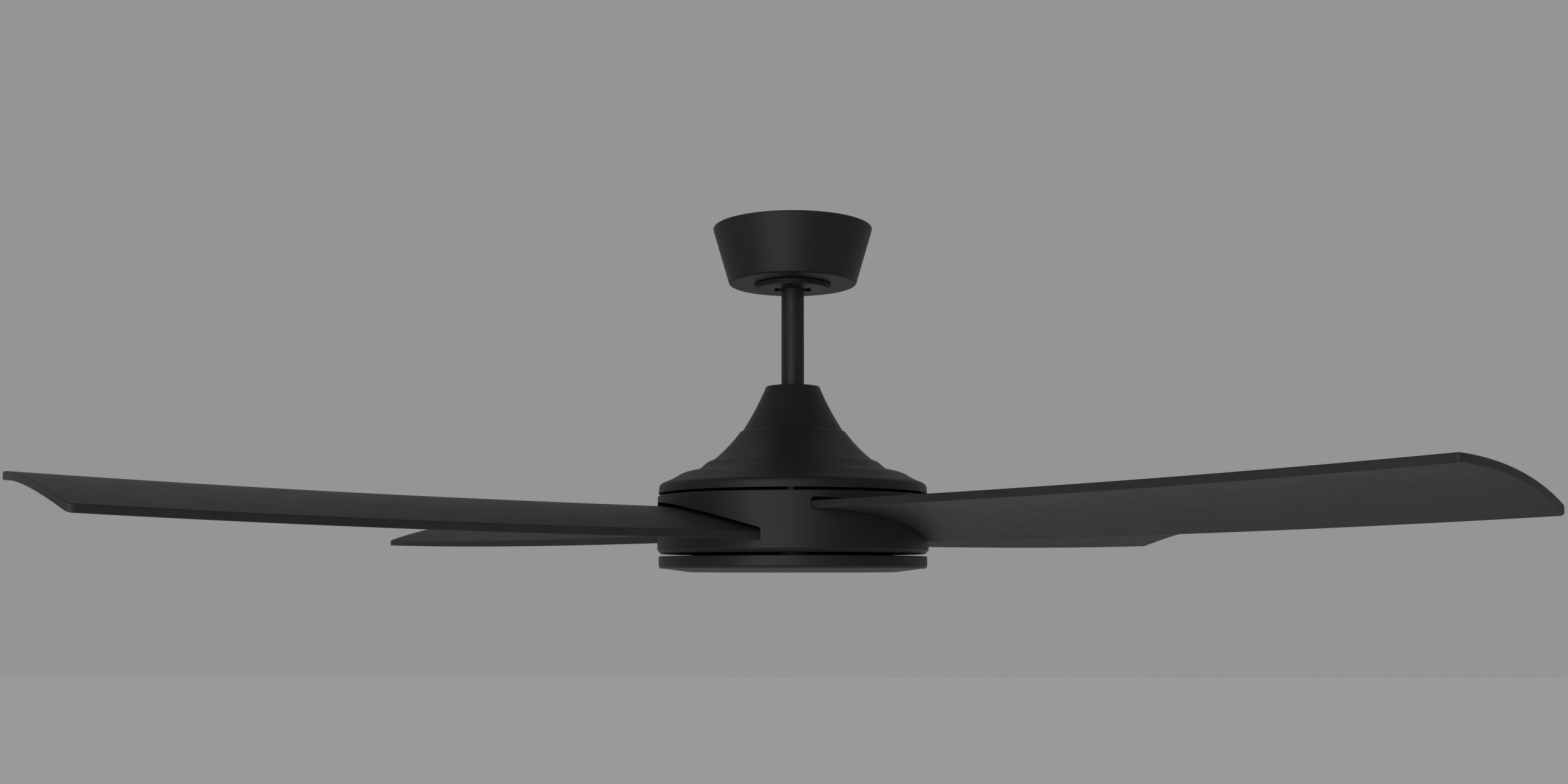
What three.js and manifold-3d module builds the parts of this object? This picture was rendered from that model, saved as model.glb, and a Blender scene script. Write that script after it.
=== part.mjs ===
// Ceiling fan with a slim light, hung from a ball on a downrod.
// Millimetres, +Z up. The origin is on the fan's axis in the ceiling plane, so everything hangs below z = 0.
// The canopy, rod, cone cover, motor shaft and light stand still.
// The drum, the motor's shell and the blades turn.

import * as THREE from 'three';
import { mergeVertices } from 'three/addons/utils/BufferGeometryUtils.js';
import Module from 'manifold-3d';

const wasm = await Module();
wasm.setup();

// ---- driving dimensions ----

const GAP = 0.3; // between pieces that rest on each other
const SHEET = 1.2; // pressed steel covers

// facets round a full circle: nested pieces share a count, so that their flats stay parallel
const FACETS = { cover: 40, motor: 24, shaft: 20, screw: 6 };

const CANOPY = { topRadius: 76.1, bottomRadius: 60.05, height: 54.2, hole: 20 };
const ESCUTCHEON = {
  radius: 36,
  lowerRadius: 34.8,
  height: 4.6,
  step: 2.7,
  hole: 11.3,
  notch: 17.7,
  notchHalfAngle: 30,
  recessInner: 21, // room for the canopy's screw heads
  recessOuter: 33,
  recess: 2.8,
};
const BALL = { radius: 22, z: -26, bore: 11.2 };
const ROD = { radius: 10.69, bore: 9.2, top: -8, bottom: -189.5 };
const CONE = { top: -152.2, bottom: -252.9, radius: 124.7 };
const DRUM = {
  top: -255.3,
  bottom: -308.2,
  radius: 125.5,
  wall: 2.5,
  plate: 1.5, // thickness of the top disc and of the lower lip
  hole: 50,
  lip: 119,
  chamferIn: 3,
  chamferUp: 3.4,
};
const HOUSING = { top: -310.6, bottom: -321.7, radius: 124.1, wall: 1.5, edge: 2.9 };
const LENS = { radius: 119.9, flatRadius: 95, rim: -313.6, edge: -321.6, bottom: -325, wall: 1.5 };
const SHAFT = { radius: 8.5, collar: 11, bore: 5.5, top: -190.3, shoulder: -260.2, bottom: -321.5 };
const BEARING = { bore: 8.8, innerRace: 12, outerRace: 16.5, radius: 19.9, width: 8, ball: 1.9, balls: 7 };
const ROTOR = {
  radius: 60,
  inside: 52,
  top: -257.1,
  split: -260.1,
  bottom: -300,
  hub: 23,
  hole: 12.8,
  screws: 56,
};
const BLADE = {
  count: 4,
  firstAngle: -47.8, // degrees from +X to the first blade's centre line
  root: 68,
  neck: 98, // full width from here outwards
  wall: 103, // where the long edges pass through the drum's wall
  rootHalfWidth: 30,
  tipRadius: 661.5, // from the fan's axis
  leadingCorner: 2, // radius
  trailingCorner: 5,
  leading: 71.5, // distance of the leading edge from the centre line
  leadingFlare: 5.5, // added by the tip
  trailing: 71.6,
  trailingTaper: 2, // taken off by the tip
  leadingTop: -264.6,
  trailingBottom: -297.7,
  camber: 5.5,
  rootThickness: 7,
  tipThickness: 6,
  rise: 6.8, // how far the tip stands above the root
};

// ---- small geometry helpers ----

const radians = THREE.MathUtils.degToRad;

// Shares the vertices, drops empty triangles and turns the faces outwards.
function closed(source) {
  const bare = source.index ? source.toNonIndexed() : source.clone();
  bare.deleteAttribute('normal');
  bare.deleteAttribute('uv');
  const merged = mergeVertices(bare, 1e-3);
  const position = merged.getAttribute('position');
  const triangles = [];
  for (let i = 0; i < merged.index.count; i += 3) {
    const corners = [0, 1, 2].map((k) => merged.index.getX(i + k));
    if (new Set(corners).size === 3) triangles.push(corners);
  }
  let volume = 0;
  const [a, b, c] = [new THREE.Vector3(), new THREE.Vector3(), new THREE.Vector3()];
  for (const corners of triangles) {
    [a, b, c].forEach((point, k) => point.fromBufferAttribute(position, corners[k]));
    volume += a.dot(b.cross(c));
  }
  const order = volume < 0 ? triangles.map(([i, j, k]) => [i, k, j]) : triangles;
  merged.setIndex(order.flat());
  return merged;
}

function toSolid(geometry) {
  const ready = closed(geometry);
  return new wasm.Manifold(new wasm.Mesh({
    numProp: 3,
    vertProperties: new Float32Array(ready.getAttribute('position').array),
    triVerts: new Uint32Array(ready.index.array),
  }));
}

function fromSolid(solid) {
  const mesh = solid.getMesh();
  const geometry = new THREE.BufferGeometry();
  const positions = [];
  for (let i = 0; i < mesh.numVert; i += 1) {
    positions.push(...mesh.vertProperties.slice(i * mesh.numProp, i * mesh.numProp + 3));
  }
  geometry.setAttribute('position', new THREE.Float32BufferAttribute(positions, 3));
  geometry.setIndex(Array.from(mesh.triVerts));
  return geometry;
}

function cut(body, ...tools) {
  return fromSolid(tools.reduce((left, tool) => left.subtract(toSolid(tool)), toSolid(body)));
}

function join(body, ...others) {
  return fromSolid(others.reduce((sum, other) => sum.add(toSolid(other)), toSolid(body)));
}

// Turns a closed outline of [radius, z] points about the Z axis.
function turned(outline, segments = 48) {
  const points = outline.map(([radius, z]) => new THREE.Vector2(radius, z));
  const touchesAxis = outline[0][0] === 0;
  if (!touchesAxis) points.push(points[0].clone());
  return closed(new THREE.LatheGeometry(points, segments).rotateX(Math.PI / 2));
}

// A ring of rectangular section.
const ring = (inner, outer, low, high, segments = 48) =>
  turned([[inner, low], [outer, low], [outer, high], [inner, high]], segments);

// A cylinder on a vertical axis.
function post(radius, low, high, x = 0, y = 0, segments = 16) {
  const geometry = new THREE.CylinderGeometry(radius, radius, high - low, segments).rotateX(Math.PI / 2);
  return geometry.translate(x, y, (low + high) / 2);
}

// A cylinder along X or Y.
function bar(axis, radius, start, end, z, segments = 16) {
  const geometry = new THREE.CylinderGeometry(radius, radius, end - start, segments);
  if (axis === 'x') return geometry.rotateZ(Math.PI / 2).translate((start + end) / 2, 0, z);
  return geometry.translate(0, (start + end) / 2, z);
}

function block(x0, x1, y0, y1, z0, z1) {
  const box = new THREE.BoxGeometry(x1 - x0, y1 - y0, z1 - z0);
  return box.translate((x0 + x1) / 2, (y0 + y1) / 2, (z0 + z1) / 2);
}

// A block with rounded upright corners.
function roundedBlock(x0, x1, y0, y1, z0, z1, radius) {
  const shape = new THREE.Shape();
  shape.absarc(x1 - radius, y1 - radius, radius, 0, Math.PI / 2);
  shape.absarc(x0 + radius, y1 - radius, radius, Math.PI / 2, Math.PI);
  shape.absarc(x0 + radius, y0 + radius, radius, Math.PI, 1.5 * Math.PI);
  shape.absarc(x1 - radius, y0 + radius, radius, 1.5 * Math.PI, 2 * Math.PI);
  const settings = { depth: z1 - z0, bevelEnabled: false, curveSegments: 2 };
  return closed(new THREE.ExtrudeGeometry(shape, settings).translate(0, 0, z0));
}

// A sector of a flat ring between two angles in degrees.
function sector(inner, outer, from, to, low, high) {
  const shape = new THREE.Shape();
  shape.absarc(0, 0, outer, radians(from), radians(to), false);
  shape.absarc(0, 0, inner, radians(to), radians(from), true);
  const settings = { depth: high - low, bevelEnabled: false, curveSegments: 2 };
  return closed(new THREE.ExtrudeGeometry(shape, settings).translate(0, 0, low));
}

// The [radius, z] points of an arc, from one angle to another in degrees.
function arc(centreRadius, centreZ, radius, from, to, steps = 4) {
  return Array.from({ length: steps + 1 }, (_, i) => {
    const angle = radians(from + ((to - from) * i) / steps);
    return [centreRadius + radius * Math.cos(angle), centreZ + radius * Math.sin(angle)];
  });
}

// A screw on a vertical axis: a domed head and a plain shank, the shank above the head or below it.
function screw(headRadius, headHeight, shankRadius, length) {
  const outline = [[0, -headHeight], [headRadius * 0.6, -headHeight], [headRadius, -headHeight * 0.35],
    [headRadius, 0], [shankRadius, 0], [shankRadius, length], [0, length]];
  return turned(outline, FACETS.screw);
}

// ---- finishes ----

const finish = (color, roughness, metalness) =>
  new THREE.MeshStandardMaterial({ color, roughness, metalness });
const FINISH = {
  blackPaint: finish(0x2b2b2c, 0.45, 0.1),
  blade: finish(0x2d2d2e, 0.5, 0),
  lens: finish(0x3a3a3b, 0.4, 0),
  zincSteel: finish(0xb5b8ba, 0.4, 1),
  steel: finish(0x8f9294, 0.3, 1),
  castAluminium: finish(0xa3a5a6, 0.55, 1),
  copper: finish(0xb0673a, 0.4, 1),
  ferrite: finish(0x3c3c3e, 0.7, 0.2),
  brassy: finish(0xb99a5b, 0.35, 1),
  nylon: finish(0xe6e3da, 0.5, 0),
  blackNylon: finish(0x232324, 0.55, 0),
  circuit: finish(0xe9ebea, 0.5, 0),
};

const fan = new THREE.Group();

function add(parent, name, geometry, material) {
  const mesh = new THREE.Mesh(geometry, material);
  mesh.name = name;
  parent.add(mesh);
  return mesh;
}

// ---- ceiling side: bracket, canopy, escutcheon, receiver and terminals ----

const CRADLE = { radius: 33, top: -34, bottom: -40, screwX: 27 };
const PLATE = 2.5;
const LEG = { inner: 30, outer: 32.5, halfWidth: 11 };
const CEILING_SLOT = { x: 43, halfLength: 5, halfWidth: 2.75 };

function hangerBracket() {
  const plate = roundedBlock(-50, 50, -20, 20, -PLATE, 0, 5);
  const receiverTab = roundedBlock(-28, 28, 0, 52, -PLATE, 0, 4);
  const terminalTab = roundedBlock(-16, 16, -40, 0, -PLATE, 0, 4);
  const rightLeg = () =>
    block(LEG.inner, LEG.outer, -LEG.halfWidth, LEG.halfWidth, CRADLE.top - 2, -PLATE / 2);
  const legs = [rightLeg(), rightLeg().rotateZ(Math.PI)];
  const cradle = turned([[0, CRADLE.bottom], [CRADLE.radius, CRADLE.bottom], [CRADLE.radius, CRADLE.top],
    [0, CRADLE.top]], 28);
  const seat = new THREE.SphereGeometry(BALL.radius + 2 * GAP, 20, 14).translate(0, 0, BALL.z);
  const throat = block(-12.5, 12.5, -CRADLE.radius - 1, 0, CRADLE.bottom - 1, CRADLE.top + 1);
  const { x: slotX, halfLength, halfWidth } = CEILING_SLOT;
  const ceilingSlots = [-slotX, slotX].map((x) =>
    roundedBlock(x - halfLength, x + halfLength, -halfWidth, halfWidth, -PLATE - 1, 1, halfWidth - 0.05));
  const wireHole = post(6, -PLATE - 1, 1, 0, -13);
  const screwHoles = [-1, 1].map((side) =>
    post(2.3, CRADLE.bottom - 1, CRADLE.top + 1, side * CRADLE.screwX, 0, 12));
  const pressing = join(plate, receiverTab, terminalTab, ...legs, cradle);
  return cut(pressing, seat, throat, ...ceilingSlots, wireHole, ...screwHoles);
}

function canopy() {
  const floor = -CANOPY.height;
  const lowerEdge = 2;
  const rolledIn = CANOPY.topRadius - 5.5;
  const outline = [[rolledIn, 0], [CANOPY.topRadius - 0.9, -0.5], [CANOPY.topRadius, -1.5],
    [CANOPY.bottomRadius + 0.6, floor + lowerEdge], [CANOPY.bottomRadius, floor + 0.7],
    [CANOPY.bottomRadius - 1.2, floor], [CANOPY.hole, floor], [CANOPY.hole, floor + SHEET],
    [CANOPY.bottomRadius - 1.4, floor + SHEET], [CANOPY.topRadius - 1.9, -2], [rolledIn, -1.2]];
  const holes = [-1, 1].map((side) => post(2.4, floor - 1, floor + SHEET + 1, side * CRADLE.screwX, 0, 12));
  return cut(turned(outline, FACETS.cover), ...holes);
}

function escutcheon() {
  const top = -CANOPY.height - GAP;
  const bottom = top - ESCUTCHEON.height;
  const step = top - ESCUTCHEON.step;
  const recess = top - ESCUTCHEON.recess;
  const { radius, lowerRadius, hole, recessInner, recessOuter } = ESCUTCHEON;
  const outline = [[hole, top], [recessInner, top], [recessInner, recess], [recessOuter, recess],
    [recessOuter, top], [radius, top], [radius, step], [lowerRadius, step], [lowerRadius, bottom],
    [hole, bottom]];
  const half = ESCUTCHEON.notchHalfAngle;
  const notches = [0, 180].map((angle) =>
    sector(ESCUTCHEON.hole - 1, ESCUTCHEON.notch, angle - half, angle + half, bottom - 1, top + 1));
  return cut(turned(outline, 30), ...notches);
}

add(fan, 'hanger_bracket', hangerBracket(), FINISH.zincSteel);
add(fan, 'canopy', canopy(), FINISH.blackPaint);
add(fan, 'escutcheon', escutcheon(), FINISH.blackPaint);
for (const [side, name] of [[-1, 'left'], [1, 'right']]) {
  const piece = add(fan, `canopy_screw_${name}`, screw(4, 1.9, 2, 18), FINISH.zincSteel);
  piece.position.set(side * CRADLE.screwX, 0, -CANOPY.height - GAP);
}
const underPlate = -PLATE - GAP;
const wireEntries = [-8, 0, 8].map((x) => block(x - 2.6, x + 2.6, -41, -33, -11, -6));
add(fan, 'receiver_module', roundedBlock(-27, 27, 24, 50, -20, underPlate, 3), FINISH.blackNylon);
add(fan, 'terminal_block', cut(block(-14, 14, -38, -24, -13, underPlate), ...wireEntries), FINISH.nylon);

// ---- hanging side: ball, rod, coupling, cone cover, shaft, stator and light ----

const PIN = { cross: 2.5, coupling: 3, couplingZ: -180, setScrewZ: -174 };

function hangerBall() {
  const ball = new THREE.SphereGeometry(BALL.radius, 20, 12).rotateX(Math.PI / 2).translate(0, 0, BALL.z);
  const bore = post(BALL.bore, BALL.z - BALL.radius - 1, BALL.z + BALL.radius + 1, 0, 0, 28);
  return cut(ball, bore, bar('y', PIN.cross + GAP, -30, 30, BALL.z));
}

function downrod() {
  const tube = ring(ROD.bore, ROD.radius, ROD.bottom, ROD.top, FACETS.shaft);
  const crossHole = bar('y', PIN.cross + GAP, -15, 15, BALL.z);
  return cut(tube, crossHole, bar('x', PIN.coupling + GAP, -15, 15, PIN.couplingZ));
}

const COUPLING = { radius: 17, top: -168, flange: 26, flangeTop: -206, bottom: -210 };

function rodCoupling() {
  const floor = ROD.bottom - GAP;
  const { radius, top, flange, flangeTop, bottom } = COUPLING;
  const [socket, bore] = [ROD.radius + GAP, SHAFT.radius + GAP];
  const outline = [[bore, bottom], [flange, bottom], [flange, flangeTop], [radius, flangeTop], [radius, top],
    [socket, top], [socket, floor], [bore, floor]];
  return cut(turned(outline, FACETS.shaft), bar('x', PIN.coupling + GAP, -20, 20, PIN.couplingZ),
    bar('y', PIN.coupling + GAP, -20, 20, PIN.setScrewZ));
}

// A round pin with a wider head and a hole near its other end for the clip.
function couplingPin() {
  const shank = bar('x', PIN.coupling, -18, 25, PIN.couplingZ);
  const head = bar('x', PIN.coupling + 2, -20.5, -18, PIN.couplingZ);
  return cut(join(shank, head), post(1.3, PIN.couplingZ - 6, PIN.couplingZ + 6, 21.5, 0, 10));
}

// A hairpin of round wire: its straight leg goes through the pin.
function pinClip() {
  const middle = PIN.couplingZ;
  const leg = middle + 7;
  const points = [[21.5, 0, middle - 8], [21.5, 0, leg], [21.7, 1.4, leg + 2.4], [21.7, 4.2, leg + 2.4],
    [21.5, 5.6, leg], [21.5, 4.6, middle], [21.5, 6.2, middle - 7]];
  const bends = points.map(([x, y, z]) => new THREE.Vector3(x, y, z));
  const path = new THREE.CatmullRomCurve3(bends, false, 'centripetal');
  const wire = new THREE.Shape().absarc(0, 0, 0.9, 0, 2 * Math.PI);
  return closed(new THREE.ExtrudeGeometry(wire, { steps: 18, curveSegments: 3, extrudePath: path }));
}

// The outside of the cone cover, from its open top to its lower edge, with three rounded ledges.
function coneOutline() {
  const path = new THREE.Path();
  path.moveTo(25.2, CONE.top);
  path.quadraticCurveTo(32.5, -171.5, 47.3, -194);
  path.quadraticCurveTo(49.6, -194.4, 50.6, -196.4);
  path.quadraticCurveTo(60.5, -209.6, 74.6, -221.4);
  path.quadraticCurveTo(79.2, -222.2, 82.2, -225.3);
  path.quadraticCurveTo(85.2, -228.4, 89.8, -231.1);
  path.quadraticCurveTo(101.5, -232.2, 107.2, -236);
  path.quadraticCurveTo(112.6, -240, 120.6, -242.7);
  path.quadraticCurveTo(124.2, -244, 124.4, -247.6);
  path.lineTo(CONE.radius, CONE.bottom);
  return path.getPoints(2);
}

const LUG = { inner: 50, outer: 58.4, halfWidth: 4.5, top: -206.5, screwRadius: 54 };
const THIRDS = [90, 210, 330];
const SCREW_HOLE = 2.3;

// Three upright holes on a circle.
const holesOnCircle = (radius, low, high) =>
  THIRDS.map((angle) => post(SCREW_HOLE, low, high, radius, 0, 10).rotateZ(radians(angle)));

function coneCover() {
  const outside = coneOutline();
  const kept = outside.filter((_, i) => i % 2 === 0 || i === 1 || i === 5 || i === outside.length - 1);
  const inside = kept.map((point) => [point.x - SHEET * 1.4, point.y]).reverse();
  const shell = turned([...outside.map((point) => [point.x, point.y]), ...inside], FACETS.cover);
  const { inner, outer, halfWidth, top } = LUG;
  const lugs = THIRDS.map((angle) =>
    block(inner, outer, -halfWidth, halfWidth, COUPLING.bottom, top).rotateZ(radians(angle)));
  return cut(join(shell, ...lugs), ...holesOnCircle(LUG.screwRadius, COUPLING.bottom - 1, top + 1));
}

// A three-armed spider between the coupling's flange and the shaft's collar.
function coverBracket() {
  const [low, high] = [COUPLING.bottom - GAP - 2, COUPLING.bottom - GAP];
  const hub = ring(SHAFT.radius + GAP, 26, low, high, 20);
  const arms = THIRDS.map((angle) => roundedBlock(20, 59, -6, 6, low, high, 3).rotateZ(radians(angle)));
  return cut(join(hub, ...arms), ...holesOnCircle(LUG.screwRadius, low - 1, high + 1));
}

function motorShaft() {
  const collarTop = COUPLING.bottom - 2 * GAP - 2;
  const { radius, collar, bore, top, shoulder, bottom } = SHAFT;
  const outline = [[bore, bottom], [radius, bottom], [radius, shoulder], [collar, shoulder],
    [collar, collarTop], [radius, collarTop], [radius, top], [bore, top]];
  return turned(outline, FACETS.shaft);
}

const STATOR = {
  radius: 47.6,
  poles: 9,
  low: -287,
  high: -271,
  yoke: 28,
  slotHalfAngle: 9,
  mouthHalfAngle: 2,
};
const WINDING = { inner: 27, outer: 43, height: 8 };

// Laminations stamped with poles: each gap between two poles is wide behind and narrow at its mouth.
function statorCore() {
  const disc = ring(SHAFT.radius + GAP, STATOR.radius, STATOR.low, STATOR.high, FACETS.motor);
  const slots = Array.from({ length: STATOR.poles }, (_, i) => {
    const middle = (i * 360) / STATOR.poles;
    const [low, high] = [STATOR.low - 1, STATOR.high + 1];
    const { slotHalfAngle: wide, mouthHalfAngle: narrow } = STATOR;
    return [sector(STATOR.yoke, STATOR.radius - 4, middle - wide, middle + wide, low, high),
      sector(STATOR.radius - 5, STATOR.radius + 1, middle - narrow, middle + narrow, low, high)];
  });
  return cut(disc, ...slots.flat());
}

// A ring of copper with a rounded section, on one side of the core.
function winding(low, high) {
  const middle = (low + high) / 2;
  const round = (high - low) / 2;
  const outerSide = arc(WINDING.outer - round, middle, round, -90, 90, 3);
  const innerSide = arc(WINDING.inner + round, middle, round, 90, 270, 3);
  return turned([...outerSide, ...innerSide], 22);
}

function innerRace(top) {
  return ring(BEARING.bore, BEARING.innerRace, top - BEARING.width, top, FACETS.shaft);
}

const UPPER_BEARING = -260.5;
const LOWER_BEARING = -288.4;
const LIGHT_FLOOR = HOUSING.top - HOUSING.wall;
const BAYONET = {
  angles: [30, 150, 270],
  halfAngle: 8,
  tabTop: -317.2,
  lugTop: -315.4,
  thickness: 1.5,
  inner: 120.5,
};

function lightHousing() {
  const { radius, top, bottom, wall, edge } = HOUSING;
  const lip = LENS.radius + 0.7;
  const bore = SHAFT.radius + GAP;
  const inside = radius - wall;
  const outline = [[bore, LIGHT_FLOOR], [inside, LIGHT_FLOOR], [inside, bottom + edge], [lip, bottom + wall],
    [lip, bottom], ...arc(radius - edge, bottom + edge, edge, -90, 0, 3), [radius, top - 1],
    [radius - 1, top], [bore, top]];
  const { halfAngle, tabTop, thickness, inner } = BAYONET;
  const tabs = BAYONET.angles.map((angle) =>
    sector(inner, radius - 1, angle - halfAngle, angle + halfAngle, tabTop - thickness, tabTop));
  return join(turned(outline, FACETS.cover), ...tabs);
}


function lens() {
  const { radius, flatRadius, rim, edge, bottom, wall } = LENS;
  const inside = radius - 2.5;
  const outline = [[0, bottom], [flatRadius, bottom], [radius - 0.8, edge - 0.6], [radius, edge],
    [radius, rim], [inside, rim], [inside, edge + 1], [flatRadius - 0.2, bottom + wall], [0, bottom + wall]];
  const { halfAngle, lugTop, thickness } = BAYONET;
  const lugEnd = HOUSING.radius - HOUSING.wall - 2 * GAP;
  const lugs = BAYONET.angles.map((angle) =>
    sector(radius - 1, lugEnd, angle - halfAngle, angle + halfAngle, lugTop - thickness, lugTop));
  return join(turned(outline, FACETS.cover), ...lugs);
}

const spacerTop = LOWER_BEARING - BEARING.width - GAP;
const spacer = ring(BEARING.bore, BEARING.innerRace, HOUSING.top + GAP, spacerTop, FACETS.shaft);
const underFloor = LIGHT_FLOOR - GAP; // where the nut, the board and the driver rest
const NUT = { radius: 13, height: 6.5 };
const nutBore = post(SHAFT.radius + GAP, underFloor - NUT.height - 1, underFloor + 1, 0, 0, FACETS.shaft);
const nut = cut(post(NUT.radius, underFloor - NUT.height, underFloor, 0, 0, 6), nutBore);
const board = ring(48, 108, underFloor - 1.2, underFloor, 32);
const driver = roundedBlock(-22, 22, 17, 40, underFloor - 7.5, underFloor, 2);

add(fan, 'hanger_ball', hangerBall(), FINISH.blackNylon);
add(fan, 'cross_pin', bar('y', PIN.cross, -19, 19, BALL.z, 14), FINISH.steel);
add(fan, 'downrod', downrod(), FINISH.blackPaint);
add(fan, 'rod_coupling', rodCoupling(), FINISH.zincSteel);
add(fan, 'coupling_pin', couplingPin(), FINISH.steel);
add(fan, 'pin_clip', pinClip(), FINISH.steel);
for (const [side, name] of [[-1, 'front'], [1, 'back']]) {
  const ends = [side * (ROD.radius + GAP), side * (COUPLING.radius + 4)];
  const geometry = bar('y', PIN.coupling, Math.min(...ends), Math.max(...ends), PIN.setScrewZ, 12);
  add(fan, `set_screw_${name}`, geometry, FINISH.steel);
}
add(fan, 'cone_cover', coneCover(), FINISH.blackPaint);
add(fan, 'cover_bracket', coverBracket(), FINISH.zincSteel);
THIRDS.forEach((angle, i) => {
  const piece = add(fan, `cover_screw_${i + 1}`, screw(3.6, 2, 2, 5), FINISH.zincSteel);
  const [x, y] = [Math.cos(radians(angle)), Math.sin(radians(angle))];
  piece.position.set(LUG.screwRadius * x, LUG.screwRadius * y, COUPLING.bottom - 2 * GAP - 2);
});
add(fan, 'motor_shaft', motorShaft(), FINISH.steel);
add(fan, 'stator_core', statorCore(), FINISH.steel);
add(fan, 'winding_upper', winding(STATOR.high + GAP, STATOR.high + WINDING.height), FINISH.copper);
add(fan, 'winding_lower', winding(STATOR.low - WINDING.height, STATOR.low - GAP), FINISH.copper);
add(fan, 'upper_inner_race', innerRace(UPPER_BEARING), FINISH.steel);
add(fan, 'lower_inner_race', innerRace(LOWER_BEARING), FINISH.steel);
add(fan, 'light_spacer', spacer, FINISH.castAluminium);
add(fan, 'light_housing', lightHousing(), FINISH.blackPaint);
add(fan, 'shaft_nut', nut, FINISH.brassy);
add(fan, 'led_board', board, FINISH.circuit);
add(fan, 'led_driver', driver, FINISH.nylon);
add(fan, 'lens', lens(), FINISH.lens);

// ---- turning side: motor shell, bearings, drum, blades and their irons ----

const pocket = BEARING.radius + GAP;

function rotorTop() {
  const { radius, top, split, hub, hole } = ROTOR;
  const hubBottom = UPPER_BEARING - BEARING.width;
  const outline = [[hole, top], [radius, top], [radius, split], [hub, split], [hub, hubBottom],
    [pocket, hubBottom], [pocket, UPPER_BEARING + GAP], [hole, UPPER_BEARING + GAP]];
  return turned(outline, FACETS.motor);
}

function rotorBottom() {
  const { radius, inside, split, bottom, hub, hole } = ROTOR;
  const pocketFloor = LOWER_BEARING - BEARING.width - GAP;
  const outline = [[hole, bottom], [radius, bottom], [radius, split - GAP], [inside, split - GAP],
    [inside, pocketFloor], [hub, pocketFloor], [hub, LOWER_BEARING], [pocket, LOWER_BEARING],
    [pocket, pocketFloor], [hole, pocketFloor]];
  return turned(outline, FACETS.motor);
}

// A thin ring that holds the balls apart, made in one with them.
function cagedBalls(top) {
  const middle = top - BEARING.width / 2;
  const pitch = (BEARING.innerRace + BEARING.outerRace) / 2;
  const cage = ring(pitch - 0.7, pitch + 0.7, middle - 0.8, middle + 0.8, 14);
  const balls = Array.from({ length: BEARING.balls }, (_, i) => {
    const angle = (2 * Math.PI * i) / BEARING.balls;
    const ball = new THREE.IcosahedronGeometry(BEARING.ball, 0);
    return ball.translate(pitch * Math.cos(angle), pitch * Math.sin(angle), middle);
  });
  return join(cage, ...balls);
}

const alongBlade = (u) => Math.max(0, (u - BLADE.wall) / (BLADE.tipRadius - BLADE.wall));
const riseAt = (u) => BLADE.rise * alongBlade(u) ** 2.6;
const thicknessAt = (u) => THREE.MathUtils.lerp(BLADE.rootThickness, BLADE.tipThickness, alongBlade(u));

// Distances of the two long edges from the centre line, narrowed inside the drum.
const narrowed = (u, full) =>
  THREE.MathUtils.mapLinear(Math.min(u, BLADE.neck), BLADE.root, BLADE.neck, BLADE.rootHalfWidth, full);
const leadingAt = (u) => narrowed(u, BLADE.leading) + BLADE.leadingFlare * alongBlade(u);
const trailingAt = (u) => narrowed(u, BLADE.trailing) - BLADE.trailingTaper * alongBlade(u);

// Height of the blade's underside: a pitched plane with a slight crown, curving up towards the tip.
function undersideAt(u, w) {
  const [lead, trail] = u < BLADE.neck ? [BLADE.leading, BLADE.trailing] : [leadingAt(u), trailingAt(u)];
  const across = (w + trail) / (lead + trail);
  const crown = 4 * BLADE.camber * across * (1 - across);
  const pitched = THREE.MathUtils.lerp(BLADE.trailingBottom, BLADE.leadingTop - thicknessAt(u), across);
  return pitched + crown + riseAt(u);
}

// How far a rounded corner stands back at a distance from the edge.
function cornerAt(distance, radius) {
  return radius - Math.sqrt(radius ** 2 - Math.max(0, radius - distance) ** 2);
}

// Where the outline ends for a fraction from the trailing edge (0) to the leading edge (1).
function tipAt(across) {
  const width = BLADE.leading + BLADE.leadingFlare + BLADE.trailing - BLADE.trailingTaper;
  const fromTrailing = across * width;
  const fromCentreLine = fromTrailing - BLADE.trailing + BLADE.trailingTaper;
  const round = Math.sqrt(BLADE.tipRadius ** 2 - fromCentreLine ** 2);
  const trailingCorner = cornerAt(fromTrailing, BLADE.trailingCorner);
  return round - trailingCorner - cornerAt(width - fromTrailing, BLADE.leadingCorner);
}

// A blade lies along +X with its leading edge towards -Y.
function blade() {
  const lengthSteps = 10;
  // shares of the way across the blade, closer together at the tip's two corners
  const stations = [0, 0.01, 0.033, 0.2, 0.4, 0.6, 0.8, 0.987, 1];
  const widthSteps = stations.length - 1;
  const grid = new THREE.BoxGeometry(1, 1, 1, lengthSteps, widthSteps, 1).translate(0.5, 0.5, 0.5);
  const geometry = closed(grid);
  const position = geometry.getAttribute('position');
  for (let i = 0; i < position.count; i += 1) {
    const across = stations[Math.round(position.getY(i) * widthSteps)];
    const u = THREE.MathUtils.lerp(BLADE.root, tipAt(across), position.getX(i) ** 1.3);
    const w = THREE.MathUtils.lerp(-trailingAt(u), leadingAt(u), across);
    position.setXYZ(i, u, -w, undersideAt(u, w) + thicknessAt(u) * position.getZ(i));
  }
  return closed(geometry);
}

const PITCH = Math.atan2(BLADE.leadingTop - BLADE.rootThickness - BLADE.trailingBottom,
  BLADE.leading + BLADE.trailing);
const IRON = {
  top: undersideAt(80, 0) - 1.2,
  thickness: 4,
  halfWidth: 22,
  from: 61,
  to: 112,
  footTo: 64.3,
  footBottom: -296,
  footTop: -268,
  boltsAt: [82, 104],
  boltHole: 2.7,
};

// The upright holes of one blade's bolts, before they are tilted with the blade.
const boltHoles = (low, high) => IRON.boltsAt.map((u) => post(IRON.boltHole, low, high, u, 0, 12));

// Tilts a piece with the blades and lifts it to the irons' pads.
const pitchedPlace = (geometry) => geometry.rotateX(-PITCH).translate(0, 0, IRON.top);

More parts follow.
